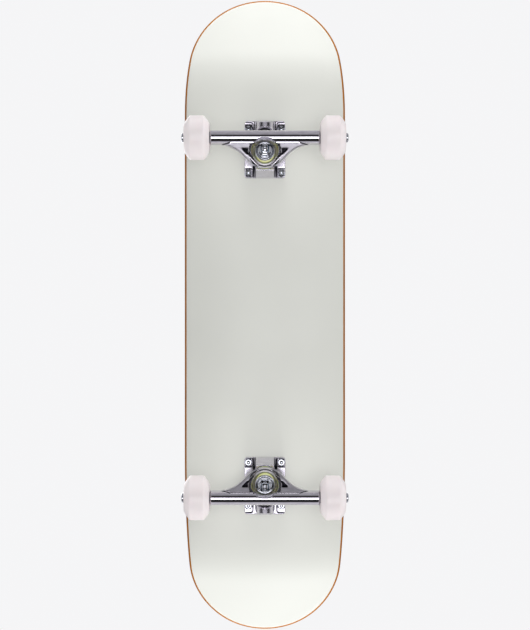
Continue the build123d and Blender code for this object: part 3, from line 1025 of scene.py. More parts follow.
@dataclass(frozen=True)
class LockNut:
    """A hexagonal nut with its corners turned off at both faces, and a crimped collar on top.

    Sizes are in millimetres. The turned and mouth fields are radii as shares of the width across the flats.
    """

    flats: float
    height: float
    bore: float
    collar: float
    chamfer: float = 0.35
    turned: float = 0.485
    turned_slope: float = 28.0
    mouth: float = 0.36
    mouth_depth: float = 0.5
    segments: int = 72

    def build(self, name: str, place: Matrix, finish: Material | None = None) -> Object:
        """Makes the nut.

        Args:
            name: The object's name.
            place: Takes the local millimetre frame to the row frame in metres.
            finish: The material, if it has one yet.

        Returns:
            The nut, standing on the local origin.
        """
        flats, height, side = self.flats, self.height, hexagon(self.flats)
        shoulder, sunk = height - self.collar, height - self.mouth_depth

        def drop(angle: float) -> float:
            """How far the turned corner falls below the face."""
            return max(0.0, side(angle) - flats * self.turned) * math.tan(math.radians(self.turned_slope))

        rings: list[Ring] = [
            (self.bore + self.chamfer, 0.0),
            (flats * self.turned, 0.0),
            (side, drop),
            (side, lambda angle: shoulder - drop(angle)),
            (flats * self.turned, shoulder),
            (flats * 0.455, shoulder + 0.15),
            (flats * 0.45, height - 0.7),
            (flats * 0.4, height - 0.15),
            (flats * self.mouth, height),
            (flats * (self.mouth - 0.01), sunk),
            (self.bore + 0.1, sunk),
            (self.bore, sunk - self.chamfer),
            (self.bore, self.chamfer),
        ]
        return lathe(name, rings, place, self.segments, finish=finish)

    def inset(
        self,
        name: str,
        bore: float,
        depths: tuple[float, float],
        ease: float,
        place: Matrix,
        finish: Material,
        segments: int = 96,
    ) -> Object:
        """Makes the nylon ring inside a lock nut's collar.

        Args:
            name: The object's name.
            bore: The ring's inside radius.
            depths: How far below the nut's top its two faces lie, the deeper one first.
            ease: How far two of its corners are eased.
            place: The nut's own frame.
            finish: Its material.
            segments: Steps round the axis.

        Returns:
            The ring.
        """
        low, high = (self.height - depth for depth in depths)
        outer = self.flats * self.mouth
        corners = ((bore, low, ease), (outer, low, 0.0), (outer, high, ease), (bore, high, 0.2))
        return lathe(name, rounded(corners), place, segments, finish=finish)


@dataclass
class BoltSet:
    """The four countersunk bolts that hold a truck, and their nuts. Sizes are in millimetres."""

    shank: float = 4.8
    length: float = 25.4
    head: float = 9.2
    head_height: float = 2.53
    recess: float = 5.0
    slot_width: float = 1.25
    recess_depth: float = 1.9
    along: float = 53.98
    across: float = 41.28
    nut_flats: float = 9.5
    nut_height: float = 5.5
    nut_collar: float = 1.6
    pitch: float = 0.8
    ridge: float = 0.3
    threaded: float = 12.0
    turn_spread: float = 1.4

    def driver_recess(self) -> Mesh:
        """Makes the cross that the driver fits, tapering as it goes down.

        Returns:
            The shape to cut out of a head.
        """
        work = bmesh.new()
        for turn in (0.0, math.pi / 2):
            made = bmesh.ops.create_cube(work, size=1.0)["verts"]
            for vertex in made:
                deep = vertex.co.z < 0
                vertex.co.x *= self.recess * (0.36 if deep else 1.0)
                vertex.co.y *= self.slot_width * (0.55 if deep else 1.0)
                vertex.co.z = -self.recess_depth if deep else 0.2
            bmesh.ops.rotate(work, verts=made, matrix=Matrix.Rotation(turn, 3, "Z"))
        mesh = mesh_of(work, "driver_recess")
        mesh.transform(FROM_MM)
        return mesh

    def pattern_bolt(self, finishes: Finishes, trees: Trees) -> Object:
        """Makes one bolt.

        Args:
            finishes: The board's materials.
            trees: The geometry trees.

        Returns:
            The bolt, its head's top at the origin, pointing down.
        """
        shank, root, tip = self.shank / 2, self.shank / 2 - self.ridge, -self.length
        rings: list[Ring] = [
            (0.0, 0.0),
            (self.head / 2 - 0.25, 0.0),
            (self.head / 2, -0.18),
            (shank, -self.head_height),
            (root, -self.head_height - 0.5),
            (root, tip + 0.7),
            (shank - 0.65, tip + 0.32),
            (shank - 1.2, tip + 0.14),
            (shank - 1.8, tip + 0.03),
            (0.0, tip),
        ]
        bolt = lathe("pattern_bolt", rings, FROM_MM, 48, closed=False)
        cut_away(bolt, self.driver_recess(), crossing=True)
        place = Matrix.Translation((0, 0, (tip + 0.3) * MM)) @ FROM_MM
        sizes = (shank, self.ridge, self.pitch, self.threaded)
        thread = trees.wind("pattern_thread", *sizes, place, finishes.zinc)
        return joined("pattern_bolt", [bolt, thread])

    def build(
        self, end: End, middle: Vector, top: float, nut_top: float, finishes: Finishes, trees: Trees
    ) -> None:
        """Sets a truck's four bolts and four nuts.

        Args:
            end: The truck's end of the board.
            middle: The middle of the bolt pattern.
            top: Height of the heads' tops.
            nut_top: Height of the nuts' upper faces.
            finishes: The board's materials.
            trees: The geometry trees.
        """
        upside_down = FROM_MM @ Matrix.Rotation(math.pi, 4, "X")
        nut = LockNut(self.nut_flats, self.nut_height, self.shank / 2 - 0.15, self.nut_collar)
        fasteners = (
            (self.pattern_bolt(finishes, trees), top, "mounting_bolts"),
            (nut.build("pattern_nut", upside_down), nut_top, "mounting_nuts"),
        )
        for part, height, name in fasteners:
            values = {
                "Fastener": part,
                "Along": self.along * MM,
                "Across": self.across * MM,
                "Middle": (middle.x, middle.y, height),
                "Turn Spread": self.turn_spread,
                "Finish": finishes.zinc,
            }
            made = run_tree(f"{end.label}_{name}_set", trees.repeat, values)
            finish_piece(made, "board", "bolt_steel", f"{end.label}_{name}")
            bpy.data.objects.remove(part)


# ---------------------------------------------------------------- deck
Loop = tuple[float, float, float, float]  # inset, layer, lift and ply place of a loop round a layer's rim
UNDERSIDE, TOP = -1.0, 2.0  # ply places outside the wood's 0 to 1, for the faces below and above


@dataclass
class Deck:
    """The pressed maple board and the grit cloth on it. Sizes are in millimetres and match the solids."""

    width: float = 203.2
    thickness: float = 11.0
    length: float = 811.96
    nose_radius: float = 97.2
    tail_radius: float = 96.2
    nose_blend: float = 57.0
    tail_blend: float = 130.0
    concave_flat: float = 56.0
    concave_rise: float = 9.5
    bend_nose: float = 270.78
    bend_tail: float = -279.18
    bend_radius: float = 160.0
    nose_angle: float = 23.0
    tail_angle: float = 21.5
    base: float = 80.0
    edge_round: float = 3.5
    painted_to: float = 2.5
    paint_turn: float = 0.28  # how far round the edge the paint's last loop but one lies, as a sine
    grip: float = 0.9
    glue: float = 0.03
    grip_inset: float = 4.3
    hole_clearance: float = 0.35
    hole_height: float = 90.0
    hole_length: float = 40.0
    hole_steps: int = 40
    rows: int = 28
    blend_steps: int = 24
    end_steps: int = 48
    side_steps: int = 90
    edge_steps: int = 6

    def outline(self) -> list[tuple[Vector, Vector]]:
        """Follows one side of the board's plan from tail to nose.

        Returns:
            Points, each with its outward normal.
        """
        half = self.width / 2
        ends: dict[int, list[tuple[Vector, Vector]]] = {}
        shapes = ((1, self.nose_radius, self.nose_blend), (-1, self.tail_radius, self.tail_blend))
        for sign, radius, blend in shapes:
            side = (blend**2 / (half - radius) + radius + half) / 2
            turn = math.asin(blend / (side - radius))
            start = sign * self.length / 2 - sign * (radius + blend)
            points = []
            for step in range(1, self.blend_steps + 1):
                angle = turn * step / self.blend_steps
                out = Vector((sign * math.sin(angle), math.cos(angle)))
                points.append((Vector((start, half - side)) + out * side, out))
            middle = points[-1][0] - points[-1][1] * radius
            for step in range(1, self.end_steps + 1):
                angle = turn + (math.pi / 2 - turn) * math.sin(step / self.end_steps * math.pi / 2)
                out = Vector((sign * math.sin(angle), math.cos(angle)))
                points.append((middle + out * radius, out))
            ends[sign] = [(Vector((start, half)), Vector((0, 1)))] + points
        low, high = ends[-1][0][0].x, ends[1][0][0].x
        places = [low + (high - low) * step / self.side_steps for step in range(1, self.side_steps)]
        straight = [(Vector((x, half)), Vector((0, 1))) for x in places]
        return list(reversed(ends[-1])) + straight + ends[1]

    def height(self, x: float, y: float, layer: float) -> float:
        """Height of a layer of the board over a point of the plan.

        Args:
            x: Place along the board.
            y: Place across it.
            layer: The layer's distance above the underside.

        Returns:
            The height above the ground.
        """
        run = abs(y) - self.concave_flat / 2
        rise = layer
        if run > 0:
            edge = self.width / 2 - self.concave_flat / 2
            radius = (edge**2 + self.concave_rise**2) / (2 * self.concave_rise)
            rise = radius - math.sqrt((radius - layer) ** 2 - run**2)
        nose = x > 0
        past = x - self.bend_nose if nose else self.bend_tail - x
        if past <= 0:
            return self.base + rise
        angle = math.radians(self.nose_angle if nose else self.tail_angle)
        arm, axis = self.bend_radius - rise, self.base + self.bend_radius
        if past <= arm * math.sin(angle):
            return axis - math.sqrt(arm**2 - past**2)
        return axis - arm * math.cos(angle) + (past - arm * math.sin(angle)) * math.tan(angle)

    def rim_point(
        self, point: Vector, out: Vector, side: int, inset: float, layer: float, lift: float
    ) -> Vector:
        """A point of a layer's rim.

        Args:
            point: A point of the outline.
            out: The outline's outward normal there.
            side: 1 for the left side, -1 for the right.
            inset: How far in from the outline the point lies.
            layer: The layer's distance above the underside.
            lift: How far above the layer the point lies.

        Returns:
            The point, in millimetres.
        """
        spot = point - out * inset
        y = max(spot.y, 0.0) * side
        return Vector((spot.x, y, self.height(spot.x, y, layer) + lift))

    def shell(self, name: str, low: float, high: float, loops: Sequence[Loop]) -> Object:
        """Makes a closed layer of the board.

        Args:
            name: The object's name.
            low: Layer height of its underside.
            high: Layer height of its top.
            loops: The loops round its rim, from underside to top.

        Returns:
            The layer, with a ply attribute on its points.
        """
        line = self.outline()
        work = bmesh.new()
        ply = work.verts.layers.float.new("ply")
        count = len(line)
        spin = [(index, 1) for index in range(count)] + [(index, -1) for index in range(count - 2, 0, -1)]
        rims: list[list[BMVert]] = []
        for inset, layer, lift, mark in loops:
            row = []
            for index, side in spin:
                vertex = work.verts.new(self.rim_point(*line[index], side, inset, layer, lift))
                vertex[ply] = mark
                row.append(vertex)
            rims.append(row)
        for number, (first, second) in enumerate(zip(rims, rims[1:])):
            for index in range(len(spin)):
                after = (index + 1) % len(spin)
                face = work.faces.new((first[index], first[after], second[after], second[index]))
                face.material_index = 0 if loops[number][3] < 0 else 1
        for rim, layer, mark in ((rims[0], low, UNDERSIDE), (rims[-1], high, TOP)):
            before: list[BMVert] = [rim[0]] * (self.rows + 1)
            for index in range(1, count):
                left = rim[index]
                right = rim[-index] if index < count - 1 else rim[index]
                row = [left]
                for step in range(1, self.rows):
                    if index == count - 1:
                        row.append(left)
                        continue
                    share = step / self.rows
                    x = left.co.x
                    y = left.co.y * (1 - share) + right.co.y * share
                    vertex = work.verts.new((x, y, self.height(x, y, layer)))
                    vertex[ply] = mark
                    row.append(vertex)
                row.append(right)
                for step in range(self.rows):
                    corners = list(dict.fromkeys((before[step], before[step + 1], row[step + 1], row[step])))
                    if len(corners) > 2:
                        work.faces.new(corners).material_index = 0 if mark < 0 else 2
                before = row
        bmesh.ops.recalc_face_normals(work, faces=work.faces[:])
        mesh = mesh_of(work, name)
        mesh.transform(FROM_MM)
        return mesh_object(name, mesh)

    def drill(self, piece: Object, radius: float, bolts: BoltSet, middles: Sequence[float]) -> None:
        """Cuts the bolt holes through a layer.

        Args:
            piece: The layer.
            radius: The holes' radius in millimetres.
            bolts: Gives the pattern's spacings.
            middles: Place along the board of each pattern's middle, in metres.
        """
        work = bmesh.new()
        radius *= MM
        for middle, along, across in product(middles, (-1, 1), (-1, 1)):
            x, y = middle + along * bolts.along / 2 * MM, across * bolts.across / 2 * MM
            place = Matrix.Translation((x, y, self.hole_height * MM))
            bmesh.ops.create_cone(
                work,
                segments=self.hole_steps,
                radius1=radius,
                radius2=radius,
                depth=self.hole_length * MM,
                cap_ends=True,
                matrix=place,
            )
        cut_away(piece, mesh_of(work, "drill"))

    def rim_loops(self) -> list[Loop]:
        """Draws the deck's sanded edge, from the paint's limit round to the top.

        Returns:
            The loops round its rim.
        """
        ease, thickness, steps = self.edge_round, self.thickness, self.edge_steps
        lift = ease * (1 - math.cos(math.asin(self.paint_turn)))
        loops = [(ease, 0.0, 0.0, UNDERSIDE), (ease * (1 - self.paint_turn), 0.0, lift, UNDERSIDE)]
        first = math.asin(1 - self.painted_to / ease)
        for step in range(steps + 1):
            angle = first + (math.pi / 2 - first) * step / steps
            lift = ease * (1 - math.cos(angle))
            loops.append((ease * (1 - math.sin(angle)), 0.0, lift, lift / thickness))
        for step in range(1, steps):
            lift = ease + (thickness - 2 * ease) * step / steps
            loops.append((0.0, 0.0, lift, lift / thickness))
        for step in range(steps + 1):
            angle = math.pi / 2 * (1 - step / steps)
            drop = ease * (1 - math.cos(angle))
            loops.append((ease * (1 - math.sin(angle)), thickness, -drop, min(1 - drop / thickness, 1.0)))
        return loops

    def build(self, bolts: BoltSet, middles: Sequence[float], finishes: Finishes) -> None:
        """Makes the deck and the grit cloth and dresses them.

        Args:
            bolts: Gives the bolt holes' sizes and spacings.
            middles: Place along the board of each truck's bolt pattern, in metres.
            finishes: The board's materials.
        """
        low = self.thickness + self.glue
        high, inset = low + self.grip, self.grip_inset
        cloth = [
            (inset, low, 0.0, 0.0),
            (inset, high, -0.25, 0.5),
            (inset + 0.1, high, -0.08, 0.8),
            (inset + 0.3, high, 0.0, 1.0),
        ]
        wood = (finishes.paint, finishes.ply, finishes.ply)
        pressed = self.shell("pressed_deck", 0.0, self.thickness, self.rim_loops())
        stuck = self.shell("grit_cloth", low, high, cloth)
        for layer, materials, hole, slot, node in (
            (pressed, wood, bolts.shank, "painted_maple", "deck"),
            (stuck, (finishes.grit,) * 3, bolts.head, "grip_tape", "grip_tape"),
        ):
            for material in materials:
                layer.data.materials.append(material)
            self.drill(layer, hole / 2 + self.hole_clearance, bolts, middles)
            shade(layer.data, 40)
            finish_piece(layer, "board", slot, node)


# ---------------------------------------------------------------- trucks
@dataclass
class Truck:
    """One truck: plate, kingpin stack, hanger and axle. Sizes are in millimetres and match the solids."""

    end: End
    height: float = 53.0
    axle_offset: float = 10.7
    lean: float = 10.0
    to_axle: float = 17.3
    boss_rise: float = 24.2
    washer: float = 1.6
    cup_run: float = 2.0
    cup_depth: float = 1.2
    board_washer: float = 27.0
    road_washer: float = 24.0
    board_bushing: float = 25.6
    board_bushing_height: float = 15.0
    road_bushing: float = 24.2
    road_bushing_end: float = 21.4
    road_bushing_height: float = 12.0
    ring_web: float = 6.0
    gap: float = 0.1
    kingpin: float = 9.52
    pin_clearance: float = 0.15
    head_top: float = 2.9
    head_flats: float = 13.8
    head_height: float = 5.6
    nut_flats: float = 14.3
    nut_height: float = 8.0
    nut_collar: float = 2.6
    tip: float = 2.0
    axle: float = 7.94
    axle_length: float = 203.2
    axle_thread: float = 9.0
    axle_nut_flats: float = 12.7
    axle_nut_height: float = 5.6
    axle_nut_collar: float = 2.0
    pitch: float = 1.06
    ridge: float = 0.42
    hanger_width: float = 139.0
    tube: float = 18.0
    race: float = 12.1
    race_width: float = 7.0
    race_spacing: float = 10.0
    speed_washer: float = 1.0
    track: float = 165.0
    bolt_seat: float = 5.5
    casting_cell: float = 0.6
    bowl_reach: float = 15.2
    bowl_mark: float = 0.7
    rim_reach: float = 20.0
    rim_mark: float = 0.8
    tube_skin: float = 1.2
    tube_true: float = 0.35
    tube_margin: float = 4.0
    slit_from: tuple[float, float] = (-7.5, 21.7)
    slit_to: tuple[float, float] = (-21.4, 7.8)
    slit_width: float = 1.5
    slit_depth: float = 4.0
    plate_end: float = 37.99
    plate_depth: float = 9.0
    draft_slope: float = 0.13
    draft_skin: float = 4.0
    boss_half: float = 12.5

    def __post_init__(self) -> None:
        """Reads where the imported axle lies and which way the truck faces."""
        low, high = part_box(self.node("axle"))
        self.axle_at = (low + high) / 2
        self.axle_at.y = 0.0
        self.turned = self.end.value
        x = self.axle_at.x - self.turned * self.axle_offset * MM
        self.middle = Vector((x, 0.0, self.axle_at.z + self.height * MM))

    def node(self, name: str) -> str:
        """Gives the full name of one of this truck's CAD nodes.

        Args:
            name: The name without its end of the board.

        Returns:
            The full name.
        """
        return f"{self.end.label}_{name}"

    @property
    def hanger_body(self) -> str:
        """The body that steers."""
        return self.node("hanger_assembly")

    def kingpin_frame(self, distance: float) -> Matrix:
        """A local frame on the kingpin's axis, its Z pointing down the axis, in millimetres.

        Args:
            distance: How far down the axis it stands, in millimetres.

        Returns:
            The matrix to the row frame in metres.
        """
        lean = math.radians(self.lean)
        start = self.axle_offset - (self.to_axle + self.height * math.sin(lean)) / math.cos(lean)
        down = Vector((math.sin(lean) * self.turned, 0, -math.cos(lean)))
        across = Vector((0, self.turned, 0))
        out = across.cross(down)
        origin = self.middle + Vector((start * self.turned * MM, 0, 0)) + down * distance * MM
        turn = Matrix((out, across, down)).transposed().to_4x4()
        return Matrix.Translation(origin) @ turn @ FROM_MM

    def casting(self, name: str, source: str, body: str, finish: Material) -> None:
        """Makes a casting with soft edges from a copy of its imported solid.

        The copy is remade in small cells and eased, which rounds edges and corners as a mould does.

        Args:
            name: The new piece's name.
            source: The CAD node.
            body: The body that it rides on.
            finish: Its material.
        """
        hanger = source.endswith("hanger")
        work = bmesh.new()
        work.from_mesh(frame["nodes"][source].data)
        bmesh.ops.remove_doubles(work, verts=work.verts[:], dist=WELD)
        piece = mesh_object(name, mesh_of(work, name))
        if hanger:
            self.slits(piece)
        cells = piece.modifiers.new("cells", "REMESH")
        cells.mode = "VOXEL"
        cells.voxel_size = self.casting_cell * MM
        cells.use_smooth_shade = True
        ease = piece.modifiers.new("ease", "SMOOTH")
        ease.factor = 0.5
        ease.iterations = 5
        bake(piece)
        if hanger:
            self.true_up(piece.data)
        else:
            self.draft(piece.data)
        piece.data.materials.clear()
        piece.data.materials.append(finish)
        piece.data.shade_smooth()
        finish_piece(piece, body, "cast_aluminium", source)

    def slits(self, piece: Object) -> None:
        """Cuts the narrow slits that part the yoke's two arms from the wall of the bowl.

        Args:
            piece: The hanger's casting.
        """
        work = bmesh.new()
        for side in (-1, 1):
            slit = (self.slit_from, self.slit_to)
            start, end = (Vector((x * self.turned, y * side, 0)) * MM for x, y in slit)
            along, middle = end - start, self.middle + (start + end) / 2
            found, face, _, _ = piece.ray_cast(Vector((middle.x, middle.y, 0)), Vector((0, 0, 1)))
            if not found:
                raise RuntimeError(f"{piece.name} has no face over its slit at y = {middle.y:.4f}")
            turn = Matrix.Rotation(math.atan2(along.y, along.x), 4, "Z")
            size = Matrix.Diagonal((along.length, self.slit_width * MM, 2 * self.slit_depth * MM, 1))
            bmesh.ops.create_cube(work, size=1.0, matrix=Matrix.Translation(face) @ turn @ size)
        cut_away(piece, mesh_of(work, "slits"))

    def true_up(self, mesh: Mesh) -> None:
        """Brings the axle tube back to its exact radius and marks what is buffed and what lies in the bowl.

        Args:
            mesh: The hanger's mesh, in the row frame.
        """
        radius, half = self.tube / 2 * MM, self.hanger_width / 2 * MM
        buffed = mesh.attributes.new("buffed", "FLOAT", "POINT")
        bowl = mesh.attributes.new("bowl", "FLOAT", "POINT")
        inward = self.kingpin_frame(0).inverted()
        for vertex in mesh.vertices:
            place = inward @ vertex.co
            from_pin = math.hypot(place.x, place.y)
            bowl.data[vertex.index].value = self.bowl_mark * (from_pin < self.bowl_reach)
            if self.bowl_reach < from_pin < self.rim_reach:
                buffed.data[vertex.index].value = self.rim_mark
            reach = Vector((vertex.co.x - self.axle_at.x, vertex.co.z - self.axle_at.z))
            off = abs(reach.length - radius) / MM
            if abs(vertex.co.y) < half and off < self.tube_skin:
                buffed.data[vertex.index].value = min(1.0, self.tube_skin + 0.3 - off)
            if abs(vertex.co.y) < half - self.tube_margin * MM and off < self.tube_true:
                reach = reach.normalized() * radius
                vertex.co.x = self.axle_at.x + reach.x
                vertex.co.z = self.axle_at.z + reach.y

    def draft(self, mesh: Mesh) -> None:
        """Leans the pivot boss's end wall in, as the mould needs, and marks the plate's buffed corners.

        The wall leans more the further it stands off the plate.

        Args:
            mesh: The baseplate's mesh, in the row frame.
        """
        buffed = mesh.attributes.new("buffed", "FLOAT", "POINT")
        for vertex in mesh.vertices:
            out = (vertex.co.x - self.middle.x) * self.turned / MM
            corner = out > self.axle_offset and abs(vertex.co.y) > self.boss_half * MM
            buffed.data[vertex.index].value = float(corner)
            out -= self.plate_end - self.draft_skin
            deep = (self.middle.z - vertex.co.z) / MM - self.plate_depth
            if out > 0 and deep > 0:
                lean = min(out / self.draft_skin, 1.0) * deep * self.draft_slope
                vertex.co.x -= lean * self.turned * MM

    def kingpin_stack(self, finishes: Finishes, trees: Trees) -> None:
        """Makes the kingpin, its nut, the two cupped washers and the two bushings.

        Args:
            finishes: The board's materials.
            trees: The geometry trees.
        """
        shank, root, top = self.kingpin / 2, self.kingpin / 2 - 0.45, self.head_top
        ring_bottom = self.boss_rise + self.washer + self.board_bushing_height + self.ring_web
        nut_start = ring_bottom + self.road_bushing_height + self.washer
        end = nut_start + self.nut_height + self.tip
        head = hexagon(self.head_flats)
        rings: list[Ring] = [
            (0.0, top),
            (self.head_flats / 2 - 0.4, top),
            (head, top + 0.5),
            (head, top + self.head_height),
            (shank, top + self.head_height),
            (shank, nut_start - 1.0),
            (root, nut_start - 0.6),
            (root, end - 1.4),
            (shank - 1.1, end - 0.75),
            (shank - 2.2, end - 0.25),
            (shank - 3.0, end - 0.05),
            (shank - 3.3, end - 0.3),
            (0.0, end - 1.0),
        ]
        place = self.kingpin_frame(0)
        pin = lathe(self.node("kingpin_shank"), rings, place, 72, closed=False, finish=finishes.zinc)
        place = self.kingpin_frame(nut_start)
        sizes = (shank, self.ridge, self.pitch, end - nut_start - 0.6)
        thread = trees.wind(self.node("kingpin_thread"), *sizes, place, finishes.zinc)
        pin = joined(self.node("kingpin_bolt"), [pin, thread])
        finish_piece(pin, "board", "zinc_steel", self.node("kingpin"))

        shape = LockNut(self.nut_flats, self.nut_height, shank - 0.2, self.nut_collar)
        name, ring = self.node("kingpin_lock_nut"), self.node("kingpin_nut_ring")
        nut = shape.build(name, place, finishes.zinc)
        inset = shape.inset(ring, shank - 0.3, (2.4, 0.45), 0.2, place, finishes.nylon)
        finish_piece(joined(name, [nut, inset]), "board", "zinc_steel", self.node("kingpin_nut"))
        self.washer_piece("board_side", self.boss_rise, self.board_washer / 2, 1, finishes)
        self.washer_piece("road_side", nut_start, self.road_washer / 2, -1, finishes)
        barrel, near, far = self.board_bushing / 2, self.road_bushing / 2, self.road_bushing_end / 2
        start, height = self.boss_rise + self.washer, self.board_bushing_height - self.gap
        self.bushing("board_side", start, height, (barrel, barrel), 2.2, finishes)
        start, height = ring_bottom + self.gap, self.road_bushing_height - self.gap
        self.bushing("road_side", start, height, (near, far), 1.4, finishes)

    def washer_piece(self, which: str, start: float, radius: float, way: int, finishes: Finishes) -> None:
        """Makes a cupped washer, stamped with a rolled rim that holds the bushing's end.

        Args:
            which: Which side of the hanger it is on.
            start: How far down the kingpin its flat back lies.
            radius: Its outside radius.
            way: 1 where the rim turns down the axis, -1 where it turns up.
            finishes: The board's materials.
        """
        bore = self.kingpin / 2 + self.pin_clearance
        flat = radius - self.cup_run
        corners = (
            (bore, 0.0, 0.2),
            (flat - 2.2, 0.0, 0.4),
            (flat - 1.2, 0.75, 0.8),
            (flat + 0.1, 0.05, 0.5),
            (radius - 0.8, 0.1, 0.7),
            (radius, self.cup_depth + 0.2, 0.5),
            (radius, self.cup_depth + self.washer * 0.95, 0.35),
            (flat - 0.2, self.washer, 0.9),
            (bore, self.washer, 0.2),
        )
        rings = rounded(corners)
        if way < 0:
            rings = [(ring, -height) for ring, height in rings]
        made = lathe(self.node(f"{which}_cup_washer"), rings, self.kingpin_frame(start), finish=finishes.zinc)
        finish_piece(made, "board", "zinc_steel", self.node(f"{which}_washer"))

    def bushing(
        self,
        which: str,
        start: float,
        height: float,
        radii: tuple[float, float],
        ease: float,
        finishes: Finishes,
    ) -> None:
        """Makes a poured bushing, a barrel or a cone, left at rest on no body.

        Args:
            which: Which side of the hanger it is on.
            start: How far down the kingpin it starts.
            height: How tall it is.
            radii: Its radius where it starts and where it ends.
            ease: How far its outer edges are eased.
            finishes: The board's materials.
        """
        bore = self.kingpin / 2 + self.pin_clearance
        near, far = radii
        waist = ((near, height * 0.45, 2.5),) if near != far else ()
        corners = ((bore, 0.0, 0.3), (near, 0.0, ease), *waist, (far, height, ease), (bore, height, 0.3))
        name, place = self.node(f"{which}_poured_bushing"), self.kingpin_frame(start)
        made = lathe(name, rounded(corners, 6), place, finish=finishes.bushing)
        ends = [self.kingpin_frame(start + away).translation for away in (0.0, height)]
        if which == "road_side":
            ends.reverse()
        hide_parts(self.node(f"{which}_bushing"))
        self.hanger_body
        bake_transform(made)
        LOG.info("%s: %d faces between board and %s", made.name, len(made.data.polygons), self.hanger_body)

    def axle_parts(self, finishes: Finishes, trees: Trees) -> None:
        """Makes the axle with its threaded ends, the inner races, the speed washers and the nuts.

        Args:
            finishes: The board's materials.
            trees: The geometry trees.
        """
        radius, root, half = self.axle / 2, self.axle / 2 - self.ridge, self.axle_length / 2
        plain = half - self.axle_thread
        upper = [(radius, plain - 0.4), (root, plain), (root, half - 0.8), (radius - 1.1, half), (0.0, half)]
        rings = [(ring, -height) for ring, height in reversed(upper)] + upper
        place = across_frame(self.axle_at)
        parts = [lathe(self.node("axle_rod"), rings, place, 64, closed=False, finish=finishes.chrome)]
        sizes = (radius, self.ridge, self.pitch, self.axle_thread - 0.5)
        for flip in (False, True):
            place = across_frame(self.axle_at, -plain if flip else plain, flip)
            name = self.node(f"axle_thread_{int(flip)}")
            parts.append(trees.wind(name, *sizes, place, finishes.chrome))
        finish_piece(joined(self.node("axle_rod"), parts), self.hanger_body, "axle_steel", self.node("axle"))

        bore, race, deep, thin = radius + 0.03, self.race / 2, self.race_width / 2, self.speed_washer / 2
        corners = ((bore, -deep, 0.35), (race, -deep, 0.25), (race, deep, 0.25), (bore, deep, 0.35))
        race_rings = rounded(corners)
        corners = ((bore, -thin, 0.1), (race, -thin, 0.15), (race, thin, 0.15), (bore, thin, 0.1))
        washer_rings = rounded(corners, 2)
        shape = LockNut(self.axle_nut_flats, self.axle_nut_height, radius - 0.15, self.axle_nut_collar)
        races, washers, nuts = [], [], []
        outside_race = self.race_spacing / 2 + self.race_width
        for side in (-1, 1):
            wheel = side * self.track / 2
            for way in (-1, 1):
                tail = f"{side}_{way}"
                place = across_frame(self.axle_at, wheel + way * (self.race_spacing + self.race_width) / 2)
                races.append(lathe(f"race_{tail}", race_rings, place, 72, finish=finishes.chrome))
                place = across_frame(self.axle_at, wheel + way * (outside_race + thin))
                washers.append(lathe(f"washer_{tail}", washer_rings, place, 64, finish=finishes.zinc))
            place = across_frame(self.axle_at, wheel + side * (outside_race + self.speed_washer), side < 0)
            nuts.append(shape.build(f"nut_{side}", place, finishes.zinc))
            ring = (f"nut_ring_{side}", radius - 0.25, (1.8, 0.4), 0.15, place, finishes.nylon, 64)
            nuts.append(shape.inset(*ring))
        sets = (
            ("inner_race_set", races, "bearing_steel", "bearing_inner_races"),
            ("speed_washer_set", washers, "zinc_steel", "speed_washers"),
            ("axle_lock_nuts", nuts, "zinc_steel", "axle_nuts"),
        )
        for name, pieces, slot, node in sets:
            finish_piece(joined(self.node(name), pieces), self.hanger_body, slot, self.node(node))

    def build(self, finishes: Finishes, trees: Trees) -> None:
        """Makes and dresses the whole truck.

        Args:
            finishes: The board's materials.
            trees: The geometry trees.
        """
        self.casting(self.node("cast_hanger"), self.node("hanger"), self.hanger_body, finishes.casting)
        self.casting(self.node("cast_baseplate"), self.node("baseplate"), "board", finishes.plate)
        self.kingpin_stack(finishes, trees)
        self.axle_parts(finishes, trees)
        cup = frame["nodes"][self.node("pivot_cup")]
        cup.data.materials.clear()
        cup.data.materials.append(finishes.cup)


